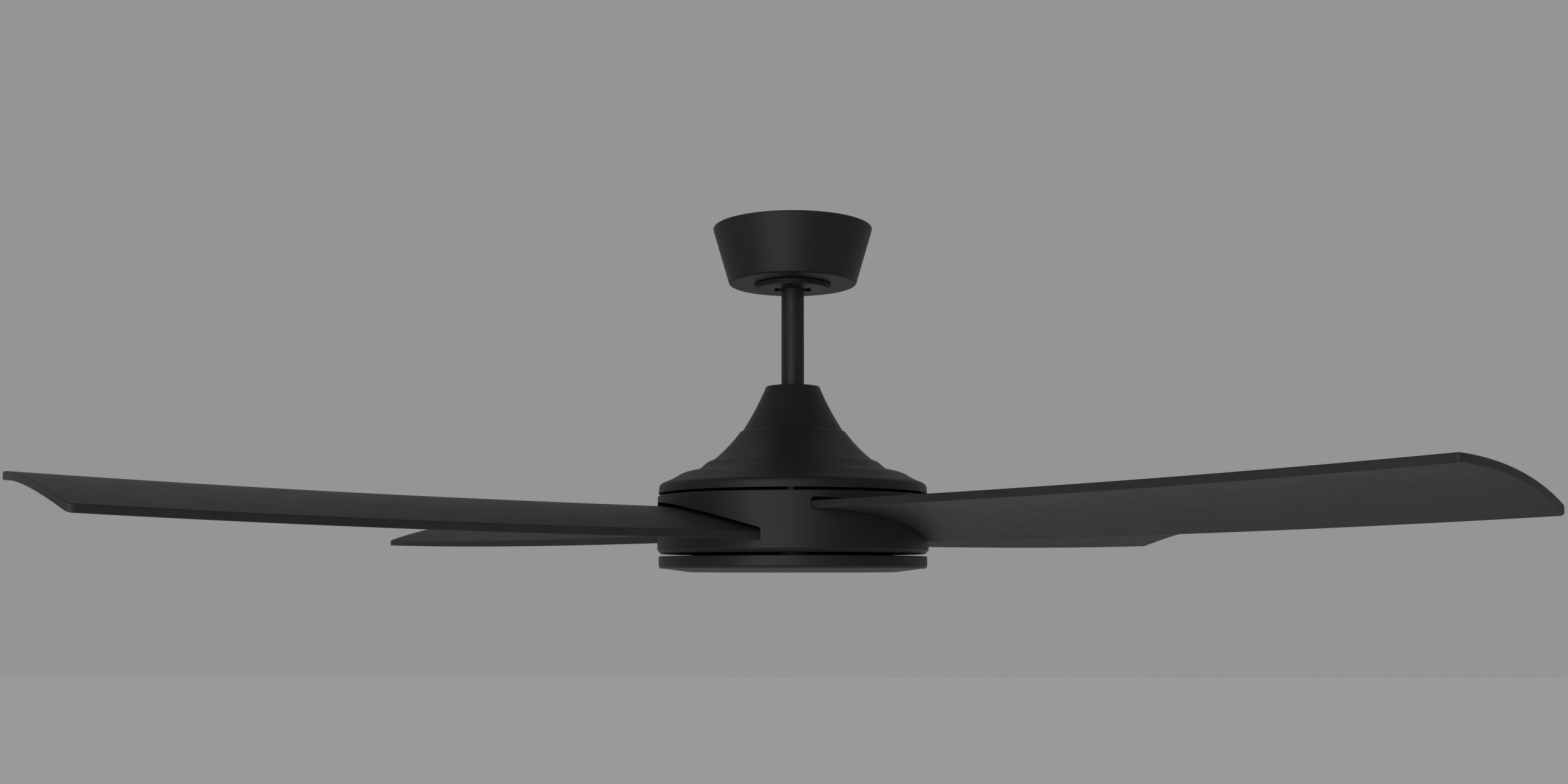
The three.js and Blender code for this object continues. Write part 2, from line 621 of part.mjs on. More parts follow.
// The iron's pad lies along the blade's underside, and its foot stands against the motor's shell.
function bladeIron() {
  const { from, to, halfWidth, thickness, footTo, footBottom, footTop } = IRON;
  const pad = roundedBlock(from, to, -halfWidth, halfWidth, -thickness, 0, 3);
  const foot = block(ROTOR.radius + GAP, footTo, -20, 20, footBottom, footTop);
  return cut(join(pitchedPlace(pad), foot), ...boltHoles(-10, 10).map(pitchedPlace));
}

function bladeWithHoles() {
  return cut(blade(), ...boltHoles(-4, 14).map(pitchedPlace));
}

const SLOT = { halfWidth: 72.2, corner: 2.5, below: -0.45, above: 3.4, from: 80, depth: 70 };

// What the drum's wall leaves open for one blade: hairline below, more room above, rounded ends.
function slotTool() {
  const { halfWidth, corner, below, above } = SLOT;
  const bottomAt = (w) => undersideAt(BLADE.wall, w) + below;
  const topAt = (w) => undersideAt(BLADE.wall, w) + BLADE.rootThickness + above;
  const shape = new THREE.Shape();
  const steps = 8;
  for (let i = 0; i <= steps; i += 1) {
    const w = THREE.MathUtils.lerp(-halfWidth + corner / 2, halfWidth - corner / 2, i / steps);
    if (i === 0) shape.moveTo(-w, bottomAt(w));
    else shape.lineTo(-w, bottomAt(w));
  }
  shape.lineTo(-halfWidth, bottomAt(halfWidth) + corner / 2);
  shape.lineTo(-halfWidth, topAt(halfWidth) - corner);
  for (let i = 0; i <= steps; i += 1) {
    const w = THREE.MathUtils.lerp(halfWidth - corner, -halfWidth + corner, i / steps);
    shape.lineTo(-w, topAt(w));
  }
  shape.lineTo(halfWidth, topAt(-halfWidth) - corner);
  shape.lineTo(halfWidth, bottomAt(-halfWidth) + corner / 2);
  const extruded = new THREE.ExtrudeGeometry(shape, { depth: SLOT.depth, bevelEnabled: false });
  // the outline's X becomes Y and its Y becomes Z, and the depth runs outwards along X
  return closed(extruded.rotateX(Math.PI / 2).rotateZ(Math.PI / 2).translate(SLOT.from, 0, 0));
}

const bladeAngles = Array.from({ length: BLADE.count }, (_, i) =>
  BLADE.firstAngle + (360 * i) / BLADE.count);

function drum() {
  const { top, bottom, radius, wall, plate, hole, lip, chamferIn, chamferUp } = DRUM;
  const [disc, floor, inside] = [top - plate, bottom + plate, radius - wall];
  const outline = [[hole, top], [hole, disc], [inside, disc], [inside, bottom + chamferUp],
    [inside - 2, floor], [lip, floor], [lip, bottom], [radius - chamferIn, bottom],
    [radius, bottom + chamferUp], [radius, top - 1], [radius - 1, top]];
  const slots = bladeAngles.map((angle) => slotTool().rotateZ(radians(angle)));
  return cut(turned(outline, FACETS.cover), ...slots, ...holesOnCircle(ROTOR.screws, disc - 1, top + 1));
}

const screwWells = () => holesOnCircle(ROTOR.screws, -270, -250);

add(fan, 'rotor_top', cut(rotorTop(), ...screwWells()), FINISH.castAluminium);
add(fan, 'rotor_bottom', cut(rotorBottom(), ...screwWells()), FINISH.castAluminium);
add(fan, 'magnet_ring', ring(48.2, 51.7, -288, -270, FACETS.motor), FINISH.ferrite);
for (const [name, top] of [['upper', UPPER_BEARING], ['lower', LOWER_BEARING]]) {
  const outer = ring(BEARING.outerRace, BEARING.radius, top - BEARING.width, top, FACETS.motor);
  add(fan, `${name}_outer_race`, outer, FINISH.steel);
  add(fan, `${name}_caged_balls`, cagedBalls(top), FINISH.steel);
}
add(fan, 'drum', drum(), FINISH.blackPaint);
THIRDS.forEach((angle, i) => {
  const piece = add(fan, `rotor_screw_${i + 1}`, screw(3.6, 2, 1.9, 12), FINISH.zincSteel);
  const [x, y] = [Math.cos(radians(angle)), Math.sin(radians(angle))];
  piece.rotation.x = Math.PI;
  piece.position.set(ROTOR.screws * x, ROTOR.screws * y, DRUM.top + GAP);
});

const bladeGeometry = bladeWithHoles();
const ironGeometry = bladeIron();
bladeAngles.forEach((angle, i) => {
  const arm = new THREE.Group();
  arm.rotation.z = radians(angle);
  fan.add(arm);
  add(arm, `blade_${i + 1}`, bladeGeometry, FINISH.blade);
  add(arm, `blade_iron_${i + 1}`, ironGeometry, FINISH.castAluminium);
  const tilted = new THREE.Group();
  tilted.rotation.x = -PITCH;
  tilted.position.z = IRON.top;
  arm.add(tilted);
  IRON.boltsAt.forEach((u, j) => {
    const bolt = add(tilted, `blade_bolt_${i + 1}_${j + 1}`, screw(4.5, 3, 2.4, 10.5), FINISH.zincSteel);
    bolt.position.set(u, 0, -IRON.thickness - GAP);
  });
});

export default fan;
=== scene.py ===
"""Finished surfaces of a ceiling fan with a slim light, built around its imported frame.

Everything is in metres in the fan's own frame: +Z up, the fan's axis on Z and the ceiling at z = 0.
Sizes are written in millimetres, as on a workshop drawing, and MM turns them into metres.
"""

import logging
import math
from collections.abc import Iterable, Sequence
from dataclasses import dataclass, field
from enum import Enum
from itertools import pairwise

import bmesh
import bpy
import numpy as np
from mathutils import Matrix, Vector


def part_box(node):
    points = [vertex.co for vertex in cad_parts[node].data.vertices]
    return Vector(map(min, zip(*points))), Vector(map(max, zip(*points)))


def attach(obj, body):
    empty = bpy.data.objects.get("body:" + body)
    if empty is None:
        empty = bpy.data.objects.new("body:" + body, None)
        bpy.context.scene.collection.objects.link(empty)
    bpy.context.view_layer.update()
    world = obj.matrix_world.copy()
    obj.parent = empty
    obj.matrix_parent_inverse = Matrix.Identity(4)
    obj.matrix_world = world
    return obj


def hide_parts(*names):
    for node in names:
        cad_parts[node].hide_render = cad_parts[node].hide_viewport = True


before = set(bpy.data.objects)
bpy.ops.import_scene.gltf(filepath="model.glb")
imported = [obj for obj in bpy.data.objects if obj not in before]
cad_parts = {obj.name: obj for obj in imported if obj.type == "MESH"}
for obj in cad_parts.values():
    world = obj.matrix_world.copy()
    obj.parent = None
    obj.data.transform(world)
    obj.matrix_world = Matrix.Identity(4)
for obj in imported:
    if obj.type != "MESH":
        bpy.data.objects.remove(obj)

MM = 0.001
WELD_DISTANCE = 0.001  # points nearer than this, in millimetres, are one point
GAP = 0.3  # between pieces that rest on each other
SHEET = 1.2  # pressed steel covers
FINE = 192  # facets round a large turned piece
SMALL = 64  # facets round a pin, a race or a bush
THIRDS = (90.0, 210.0, 330.0)  # degrees, where sets of three screws or lugs stand
SCREW_HOLE = 2.3  # radius of the holes for the screws that join shells and brackets
Corner = tuple[float, ...]  # radius (or x), z (or y) and, where it is rounded, the fillet's radius
Piece = bpy.types.Object
Socket = bpy.types.NodeSocket

log = logging.getLogger("ceiling_fan")


# ---- shapes ----


def span(node: str) -> tuple[float, float]:
    """Heights of a framed node's lowest and highest points, in millimetres."""
    low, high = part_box(node)
    return low.z / MM, high.z / MM


def reach(node: str) -> float:
    """Radius of a framed node that is turned about the fan's axis, in millimetres."""
    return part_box(node)[1].x / MM


def rounded(corners: Sequence[Corner], steps: int = 5) -> list[np.ndarray]:
    """Gives a closed outline with its corners rounded.

    Args:
        corners: points in order; a third number is the fillet's radius.
        steps: straight stretches in each fillet.

    Returns:
        The outline's points in order.
    """
    points = []
    for i, corner in enumerate(corners):
        here = np.array(corner[:2], float)
        radius = corner[2] if len(corner) > 2 else 0.0
        if radius == 0.0:
            points.append(here)
            continue
        before = np.array(corners[i - 1][:2]) - here
        after = np.array(corners[(i + 1) % len(corners)][:2]) - here
        before, after = before / np.linalg.norm(before), after / np.linalg.norm(after)
        half = math.acos(float(np.clip(before @ after, -1, 1))) / 2
        middle = (before + after) / np.linalg.norm(before + after)
        centre = here + middle * radius / math.sin(half)
        start = here + before * radius / math.tan(half) - centre
        end = here + after * radius / math.tan(half) - centre
        sweep = math.pi - 2 * half
        for k in range(steps + 1):
            share = k / steps
            swung = start * math.sin((1 - share) * sweep) + end * math.sin(share * sweep)
            points.append(centre + swung / math.sin(sweep))
    return points


def arc(centre: Corner, radius: float, start: float, end: float, steps: int = 12) -> list[Corner]:
    """Points of an arc about a centre, from one angle to another in degrees."""
    angles = np.radians(np.linspace(start, end, steps + 1))
    return [(centre[0] + radius * math.cos(a), centre[1] + radius * math.sin(a)) for a in angles]


def bend(start: Corner, control: Corner, end: Corner, steps: int = 10) -> list[Corner]:
    """Points of a quadratic curve after its start, up to and with its end."""
    a, b, c = (np.array(point) for point in (start, control, end))
    shares = np.linspace(0, 1, steps + 1)[1:]
    return [tuple((1 - t) ** 2 * a + 2 * t * (1 - t) * b + t**2 * c) for t in shares]


def linked(name: str, data: bpy.types.ID) -> Piece:
    """Makes an object of a mesh, a curve, a lamp or a camera, and links it to the scene."""
    piece = bpy.data.objects.new(name, data)
    bpy.context.scene.collection.objects.link(piece)
    return piece


def solid(name: str, vertices: Iterable[Sequence[float]], faces: Iterable[Sequence[int]]) -> Piece:
    """Makes an object of a closed mesh whose points are in millimetres, with its faces turned outwards.

    Args:
        name: the object's name.
        vertices: points in millimetres.
        faces: closed loops of point numbers, all turning the same way.

    Returns:
        The object, linked to the scene.
    """
    mesh = bpy.data.meshes.new(name)
    metres = [tuple(float(x) * MM for x in point) for point in vertices]
    mesh.from_pydata(metres, [], [list(face) for face in faces])
    work = bmesh.new()
    work.from_mesh(mesh)
    if work.calc_volume(signed=True) < 0:
        bmesh.ops.reverse_faces(work, faces=work.faces)
    work.to_mesh(mesh)
    work.free()
    return linked(name, mesh)


def turned(name: str, corners: Sequence[Corner], segments: int = FINE, steps: int = 5) -> Piece:
    """Turns a closed outline of (radius, z) corners about the fan's axis."""
    vertices, rings = [], []
    angles = 2 * np.pi * np.arange(segments) / segments
    for radius, z in rounded(corners, steps):
        if radius < 1e-6:
            rings.append([len(vertices)] * segments)
            vertices.append((0.0, 0.0, z))
            continue
        rings.append(list(range(len(vertices), len(vertices) + segments)))
        vertices += [(radius * math.cos(a), radius * math.sin(a), z) for a in angles]
    faces = []
    for lower, upper in pairwise([*rings, rings[0]]):
        for k in range(segments):
            following = (k + 1) % segments
            loop = list(dict.fromkeys([lower[k], lower[following], upper[following], upper[k]]))
            if len(loop) > 2:
                faces.append(loop)
    return solid(name, vertices, faces)


def ring(name: str, inner: float, outer: float, low: float, high: float, edge: float = 0.3,
         segments: int = SMALL) -> Piece:
    """Makes a ring of rectangular section with its four edges eased."""
    corners = [(inner, low, edge), (outer, low, edge), (outer, high, edge), (inner, high, edge)]
    return turned(name, corners, segments, steps=2)


def prism(name: str, outline: Sequence[Corner], low: float, high: float, steps: int = 6) -> Piece:
    """Raises a flat outline of (x, y) corners from one height to another."""
    points = rounded(outline, steps)
    count = len(points)
    vertices = [(x, y, low) for x, y in points] + [(x, y, high) for x, y in points]
    sides = [(k, (k + 1) % count, count + (k + 1) % count, count + k) for k in range(count)]
    return solid(name, vertices, [tuple(range(count))[::-1], tuple(range(count, 2 * count)), *sides])


def sector(name: str, inner: float, outer: float, middle: float, half: float, low: float,
           high: float) -> Piece:
    """Makes a piece of a flat ring, half an angle in degrees to each side of a middle direction."""
    outside = arc((0, 0), outer, middle - half, middle + half)
    inside = arc((0, 0), inner, middle + half, middle - half)
    return prism(name, outside + inside, low, high)


def placed(piece: Piece, matrix: Matrix) -> Piece:
    """Moves a piece's mesh, and leaves its object at the origin."""
    piece.data.transform(matrix)
    if matrix.determinant() < 0:
        piece.data.flip_normals()
    return piece


def shift(x: float, y: float = 0.0, z: float = 0.0) -> Matrix:
    """Moves, by millimetres."""
    return Matrix.Translation((x * MM, y * MM, z * MM))


def about_axis(degrees: float) -> Matrix:
    """Turns about the fan's axis."""
    return Matrix.Rotation(math.radians(degrees), 4, "Z")


def bar(name: str, axis: str, radius: float, start: float, end: float, z: float, edge: float = 0.0) -> Piece:
    """Makes a round bar that lies along X or Y at a height."""
    piece = turned(name, [(0, start), (radius, start, edge), (radius, end, edge), (0, end)], SMALL, steps=3)
    turn = Matrix.Rotation(math.pi / 2, 4, "Y") if axis == "X" else Matrix.Rotation(-math.pi / 2, 4, "X")
    return placed(piece, shift(0, 0, z) @ turn)


def drill(radius: float, low: float, high: float, place: Matrix, segments: int = 24) -> Piece:
    """Makes the tool that cuts a hole along Z from one height to another, and moves it to its place."""
    return placed(turned("hole", [(0, low), (radius, low), (radius, high), (0, high)], segments), place)


def drills(radius: float, low: float, high: float, circle: float) -> list[Piece]:
    """Makes the tools for three holes that stand evenly on a circle about the fan's axis."""
    return [drill(radius, low, high, about_axis(angle) @ shift(circle)) for angle in THIRDS]


def settled(piece: Piece) -> Piece:
    """Makes a piece's modifiers part of its mesh."""
    graph = bpy.context.evaluated_depsgraph_get()
    evaluated = piece.evaluated_get(graph)
    mesh = bpy.data.meshes.new_from_object(evaluated, preserve_all_data_layers=True, depsgraph=graph)
    piece.modifiers.clear()
    piece.data = mesh
    return piece


def welded(piece: Piece) -> Piece:
    """Joins the points of a piece that lie together, which closes its seams."""
    weld = piece.modifiers.new("joined points", "WELD")
    weld.merge_threshold = WELD_DISTANCE * MM
    return settled(piece)


def carved(piece: Piece, tools: Iterable[Piece], operation: str = "DIFFERENCE") -> Piece:
    """Cuts tools out of a piece, or joins them to it, and removes the tools.

    Args:
        piece: what is cut.
        tools: closed meshes.
        operation: DIFFERENCE or UNION.

    Returns:
        The piece.
    """
    tools = list(tools)
    for tool in tools:
        step = piece.modifiers.new(tool.name, "BOOLEAN")
        step.operation = operation
        step.object = tool
        step.solver = "EXACT"
    settled(piece)
    for tool in tools:
        bpy.data.objects.remove(tool)
    return welded(piece)


def shaded(piece: Piece, ease: float = 0.0, angle: float = 35.0) -> Piece:
    """Eases a piece's sharp edges and shades its curved faces smoothly.

    Args:
        piece: the piece to finish.
        ease: width of the bevel on sharp edges in millimetres, or 0 for none.
        angle: edges sharper than this many degrees stay edges.

    Returns:
        The piece, as a plain mesh.
    """
    piece.data.shade_smooth()
    piece.data.set_sharp_from_angle(angle=math.radians(angle))
    if ease:
        bevel = piece.modifiers.new("eased edges", "BEVEL")
        bevel.width = ease * MM
        bevel.segments = 2
        bevel.limit_method = "ANGLE"
        bevel.angle_limit = math.radians(angle)
    weighted = piece.modifiers.new("flat faces shade flat", "WEIGHTED_NORMAL")
    weighted.keep_sharp = True
    return settled(piece)


def copied(node: str, name: str) -> Piece:
    """Copies a framed node's mesh with its loose triangles merged, so that it can be finished."""
    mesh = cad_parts[node].data.copy()
    work = bmesh.new()
    work.from_mesh(mesh)
    bmesh.ops.remove_doubles(work, verts=work.verts, dist=1e-6)
    bmesh.ops.dissolve_limit(work, angle_limit=math.radians(1), verts=work.verts, edges=work.edges)
    work.to_mesh(mesh)
    work.free()
    mesh.materials.clear()
    return linked(name, mesh)


# ---- finishes ----

RING_WIDTH = 0.314  # width of a wave texture's ring at a scale of 1
FINE_SHARE = 0.35  # weight of the fine pattern against the slow clouds
MIX_RANGE = (0.35, 0.95)  # where most values of the two together lie


def linear(code: str) -> tuple[float, float, float, float]:
    """Turns an sRGB hex colour, such as #1c1c1d, into linear red, green, blue and alpha."""
    shares = [int(code[i : i + 2], 16) / 255 for i in (1, 3, 5)]
    red, green, blue = (s / 12.92 if s <= 0.04045 else ((s + 0.055) / 1.055) ** 2.4 for s in shares)
    return red, green, blue, 1.0


def add_node(tree: bpy.types.NodeTree, kind: str, inputs: dict | None = None,
             **settings: object) -> bpy.types.Node:
    """Adds a node to a tree.

    Args:
        tree: the shader or geometry tree.
        kind: the node's type name.
        inputs: for an input's name or number, its value or the output socket that feeds it.
        settings: the node's own settings.

    Returns:
        The node.
    """
    node = tree.nodes.new(kind)
    for name, value in settings.items():
        setattr(node, name, value)
    for key, value in (inputs or {}).items():
        if isinstance(value, Socket):
            tree.links.new(value, node.inputs[key])
        else:
            node.inputs[key].default_value = value
    return node


class Relief(Enum):
    """How a surface was made, which decides the pattern of its fine relief."""

    POWDER = "melted powder, which sets with a skin like orange peel"
    MOULDED = "moulded against a spark-eroded tool, which leaves fine pebbles"
    TURNED = "turned on a lathe, which leaves fine rings about the axis"
    PLATED = "pressed from plated sheet, with a spangle of grains"
    CAST = "die cast, with soft pits"


@dataclass(frozen=True)
class Finish:
    """One real material with the surface that its making gave it."""

    name: str
    relief: Relief
    colour: str  # the darker of its two close tones
    tint: str  # the lighter tone
    roughness: tuple[float, float]  # where the surface is smoothest and roughest
    grain: float  # size of the fine pattern in millimetres
    depth: float  # height of the fine pattern in millimetres
    cloud: float = 60.0  # size of the slow change from one tone to the other in millimetres
    metallic: float = 0.0
    ior: float = 1.5
    specular: float = 0.5
    coat: float = 0.0
    transmission: float = 0.0

    def pattern(self, tree: bpy.types.NodeTree, place: Socket) -> Socket:
        """Adds the nodes of the fine relief.

        Args:
            tree: the material's tree.
            place: the point on the object, in metres.

        Returns:
            The relief's height, from 0 to 1.
        """
        scale = 1 / (self.grain * MM)
        if self.relief is Relief.TURNED:
            rings = {"Vector": place, "Scale": RING_WIDTH * scale, "Distortion": 0.6, "Detail": 2.0,
                     "Detail Scale": 3.0}
            wave = add_node(tree, "ShaderNodeTexWave", rings, wave_type="RINGS", rings_direction="Z")
            return wave.outputs["Fac"]
        if self.relief is Relief.PLATED:
            grains = {"Vector": place, "Scale": scale, "Randomness": 1.0}
            tint = add_node(tree, "ShaderNodeTexVoronoi", grains).outputs["Color"]
            return add_node(tree, "ShaderNodeSeparateColor", {"Color": tint}).outputs["Red"]
        if self.relief is Relief.MOULDED:
            pebbles = {"Vector": place, "Scale": scale, "Smoothness": 0.6}
            return add_node(tree, "ShaderNodeTexVoronoi", pebbles, feature="SMOOTH_F1").outputs["Distance"]
        detail = 1.0 if self.relief is Relief.POWDER else 4.0
        peel = {"Vector": place, "Scale": scale, "Detail": detail, "Roughness": 0.5}
        return add_node(tree, "ShaderNodeTexNoise", peel).outputs["Fac"]

    def material(self) -> bpy.types.Material:
        """Makes the material once, and gives the same one each time it is asked for."""
        known = bpy.data.materials.get(self.name)
        if known:
            return known
        made = bpy.data.materials.new(self.name)
        made.use_nodes = True
        tree = made.node_tree
        tree.nodes.clear()
        place = add_node(tree, "ShaderNodeTexCoord").outputs["Object"]
        height = self.pattern(tree, place)
        slow = {"Vector": place, "Scale": 1 / (self.cloud * MM), "Detail": 4.0, "Roughness": 0.55}
        clouds = add_node(tree, "ShaderNodeTexNoise", slow).outputs["Fac"]
        mixed = {0: height, 1: FINE_SHARE, 2: clouds}
        both = add_node(tree, "ShaderNodeMath", mixed, operation="MULTIPLY_ADD").outputs[0]
        usual = {"Value": both, "From Min": MIX_RANGE[0], "From Max": MIX_RANGE[1]}
        share = add_node(tree, "ShaderNodeMapRange", usual | {"To Min": 0.0, "To Max": 1.0}).outputs["Result"]
        tones = {0: share, 6: linear(self.colour), 7: linear(self.tint)}
        colour = add_node(tree, "ShaderNodeMix", tones, data_type="RGBA").outputs[2]
        low, high = self.roughness
        rough = usual | {"To Min": low, "To Max": high}
        roughness = add_node(tree, "ShaderNodeMapRange", rough).outputs["Result"]
        bumps = {"Height": height, "Distance": self.depth * MM, "Strength": 1.0}
        normal = add_node(tree, "ShaderNodeBump", bumps).outputs["Normal"]
        sockets = {"Base Color": colour, "Roughness": roughness, "Normal": normal, "Metallic": self.metallic,
                   "IOR": self.ior, "Specular IOR Level": self.specular, "Coat Weight": self.coat,
                   "Transmission Weight": self.transmission}
        shader = add_node(tree, "ShaderNodeBsdfPrincipled", sockets)
        add_node(tree, "ShaderNodeOutputMaterial", {"Surface": shader.outputs["BSDF"]})
        return made


# Powder coat on pressed steel: a soft, even black with broad dull highlights that break up slightly at their
# edges. The peel of 1.6 mm is drawn a little coarser than the real 1 mm, so that it shows.
BLACK_PAINT = Finish("satin_black_powder_coat", Relief.POWDER, "#181818", "#1e1e1f", (0.46, 0.54), 1.6, 0.012,
                     specular=0.3)
# Moulded blades: duller and a touch greyer than the paint, with a mottled sheen. The pebbles of 1.2 mm are
# drawn coarser than the real 0.3 mm, so that they show.
BLADE_ABS = Finish("matt_black_moulded_abs", Relief.MOULDED, "#1e1e1f", "#2a2a2b", (0.5, 0.62), 1.2, 0.012,
                   cloud=26, specular=0.38)
# Light cover: smoke-grey acrylic with a satin underside. It looks lighter than the paint around it, with a
# broad even sheen.
LENS_ACRYLIC = Finish("smoke_satin_acrylic", Relief.MOULDED, "#2a2a2c", "#303032", (0.5, 0.56), 0.8, 0.003,
                      cloud=90, ior=1.49, specular=0.3)
# Zinc plate: bluish mid grey with small grains that catch the light one by one.
ZINC_STEEL = Finish("zinc_plated_pressed_steel", Relief.PLATED, "#7d8285", "#969a9b", (0.36, 0.5), 3.0, 0.002,
                    metallic=1.0)
# Bearing and shaft steel: smooth and bright, with fine rings from the grinding wheel.
GROUND_STEEL = Finish("ground_bearing_steel", Relief.TURNED, "#8f9397", "#a3a6a8", (0.16, 0.26), 0.5, 0.002,
                      metallic=1.0)
# Silicon steel sheets of the stator: dull blue-grey scale left from annealing.
LAMINATION_STEEL = Finish("annealed_silicon_steel", Relief.CAST, "#5c6166", "#70757a", (0.4, 0.55), 1.0,
                          0.004, cloud=20, metallic=1.0)
# Die-cast aluminium: mid grey with soft pits that blur its highlights.
CAST_ALUMINIUM = Finish("die_cast_aluminium", Relief.CAST, "#808283", "#939595", (0.5, 0.64), 0.9, 0.012,
                        metallic=1.0)
# Enamelled magnet wire: deep orange copper under a clear glossy varnish.
COPPER_WIRE = Finish("enamelled_copper_wire", Relief.CAST, "#9c4a1f", "#bf6a34", (0.2, 0.3), 0.6, 0.003,
                     cloud=8, metallic=1.0, coat=0.6)
# Sintered ferrite: dead flat charcoal with a powdery speckle.
FERRITE = Finish("sintered_ferrite", Relief.CAST, "#353537", "#424243", (0.68, 0.8), 0.7, 0.01, cloud=6)
# Turned brass: warm yellow with fine rings.
TURNED_BRASS = Finish("turned_brass", Relief.TURNED, "#b08d3e", "#c8a552", (0.22, 0.32), 0.5, 0.003,
                      metallic=1.0)
# Natural nylon: warm white and slightly waxy.
WHITE_NYLON = Finish("natural_moulded_nylon", Relief.MOULDED, "#d9d5c8", "#e6e2d6", (0.4, 0.5), 1.0, 0.006)
# Glass-filled nylon: black with a dry, faintly streaked face.
BLACK_NYLON = Finish("black_glass_filled_nylon", Relief.MOULDED, "#19191a", "#242425", (0.45, 0.6), 0.9, 0.01)
# Solder mask on an aluminium board: clean white and glossy.
WHITE_MASK = Finish("white_solder_mask", Relief.POWDER, "#e4e6e5", "#eeefee", (0.18, 0.26), 1.4, 0.003,
                    coat=0.3)
# Phosphor over the light-emitting dies: matt yellow gel.
PHOSPHOR = Finish("yellow_phosphor_gel", Relief.CAST, "#d8b93c", "#e6cc5a", (0.35, 0.5), 0.4, 0.002, cloud=4)


def dressed(piece: Piece, finish: Finish, body: str, slot: str, *nodes: str) -> Piece:
    """Gives a finished piece its material, hangs it on the body that carries it and hides the framed nodes
    that it stands for.

    Args:
        piece: the finished piece.
        finish: what it is made of.
        body: the moving body that carries it.
        slot: the record's material slot; not used.
        nodes: the framed nodes that it stands for.

    Returns:
        The piece.
    """
    piece.data.materials.clear()
    piece.data.materials.append(finish.material())
    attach(piece, body)
    if nodes:
        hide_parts(*nodes)
    log.info("%s: %s on %s, %d faces", piece.name, finish.name, body, len(piece.data.polygons))
    return piece


# ---- geometry trees for what repeats ----


class Tree:
    """A geometry tree with named inputs that ends in Realize Instances and Set Material."""

    KINDS = {"Object": "NodeSocketObject", "Int": "NodeSocketInt", "Float": "NodeSocketFloat"}

    def __init__(self, name: str, inputs: dict[str, str]) -> None:
        """Starts a tree with its inputs.

        Args:
            name: the tree's name.
            inputs: each input's name, with Object, Int or Float.
        """
        self.tree = bpy.data.node_groups.new(name, "GeometryNodeTree")
        for title, kind in inputs.items():
            self.tree.interface.new_socket(title, in_out="INPUT", socket_type=self.KINDS[kind])
        self.tree.interface.new_socket("Finish", in_out="INPUT", socket_type="NodeSocketMaterial")
        self.tree.interface.new_socket("Geometry", in_out="OUTPUT", socket_type="NodeSocketGeometry")
        self.given = add_node(self.tree, "NodeGroupInput").outputs

    def add(self, kind: str, inputs: dict | None = None, **settings: object) -> bpy.types.Node:
        """Adds a node to this tree."""
        return add_node(self.tree, kind, inputs, **settings)

    def calculate(self, operation: str, *values: object) -> Socket:
        """Adds a Math node, and gives its result."""
        return self.add("ShaderNodeMath", dict(enumerate(values)), operation=operation).outputs[0]

    def vector(self, **parts: object) -> Socket:
        """Adds a vector of its X, Y and Z, which are 0 where they are not given."""
        return self.add("ShaderNodeCombineXYZ", parts).outputs["Vector"]

    def turn_about(self, axis: Corner, angle: Socket) -> Socket:
        """Adds a turn about an axis."""
        return self.add("FunctionNodeAxisAngleToRotation", {"Axis": axis, "Angle": angle}).outputs["Rotation"]

    def copies(self, points: Socket, **inputs: object) -> Socket:
        """Adds a copy of the tree's part on each point."""
        part = self.add("GeometryNodeObjectInfo", {"Object": self.given["Part"]}).outputs["Geometry"]
        placing = {"Points": points, "Instance": part} | inputs
        return self.add("GeometryNodeInstanceOnPoints", placing).outputs["Instances"]

    def close(self, geometry: Socket) -> None:
        """Realizes the instances, sets the material and ends the tree."""
        real = self.add("GeometryNodeRealizeInstances", {"Geometry": geometry}).outputs["Geometry"]
        finished = self.add("GeometryNodeSetMaterial", {"Geometry": real, "Material": self.given["Finish"]})
        self.add("NodeGroupOutput", {"Geometry": finished.outputs["Geometry"]})

    def make(self, name: str, finish: Finish, **values: object) -> Piece:
        """Runs the tree with the values of its inputs, whose spaces are written as underscores.

        Args:
            name: the new piece's name.
            finish: its material.
            values: one value for each input.

        Returns:
            The piece, as a plain mesh.
        """
        piece = linked(name, bpy.data.meshes.new(name))
        modifier = piece.modifiers.new(self.tree.name, "NODES")
        modifier.node_group = self.tree
        values = {title.replace("_", " "): value for title, value in values.items()}
        values["Finish"] = finish.material()
        for item in self.tree.interface.items_tree:
            if item.in_out == "INPUT":
                modifier[item.identifier] = values[item.name]
        return settled(piece)


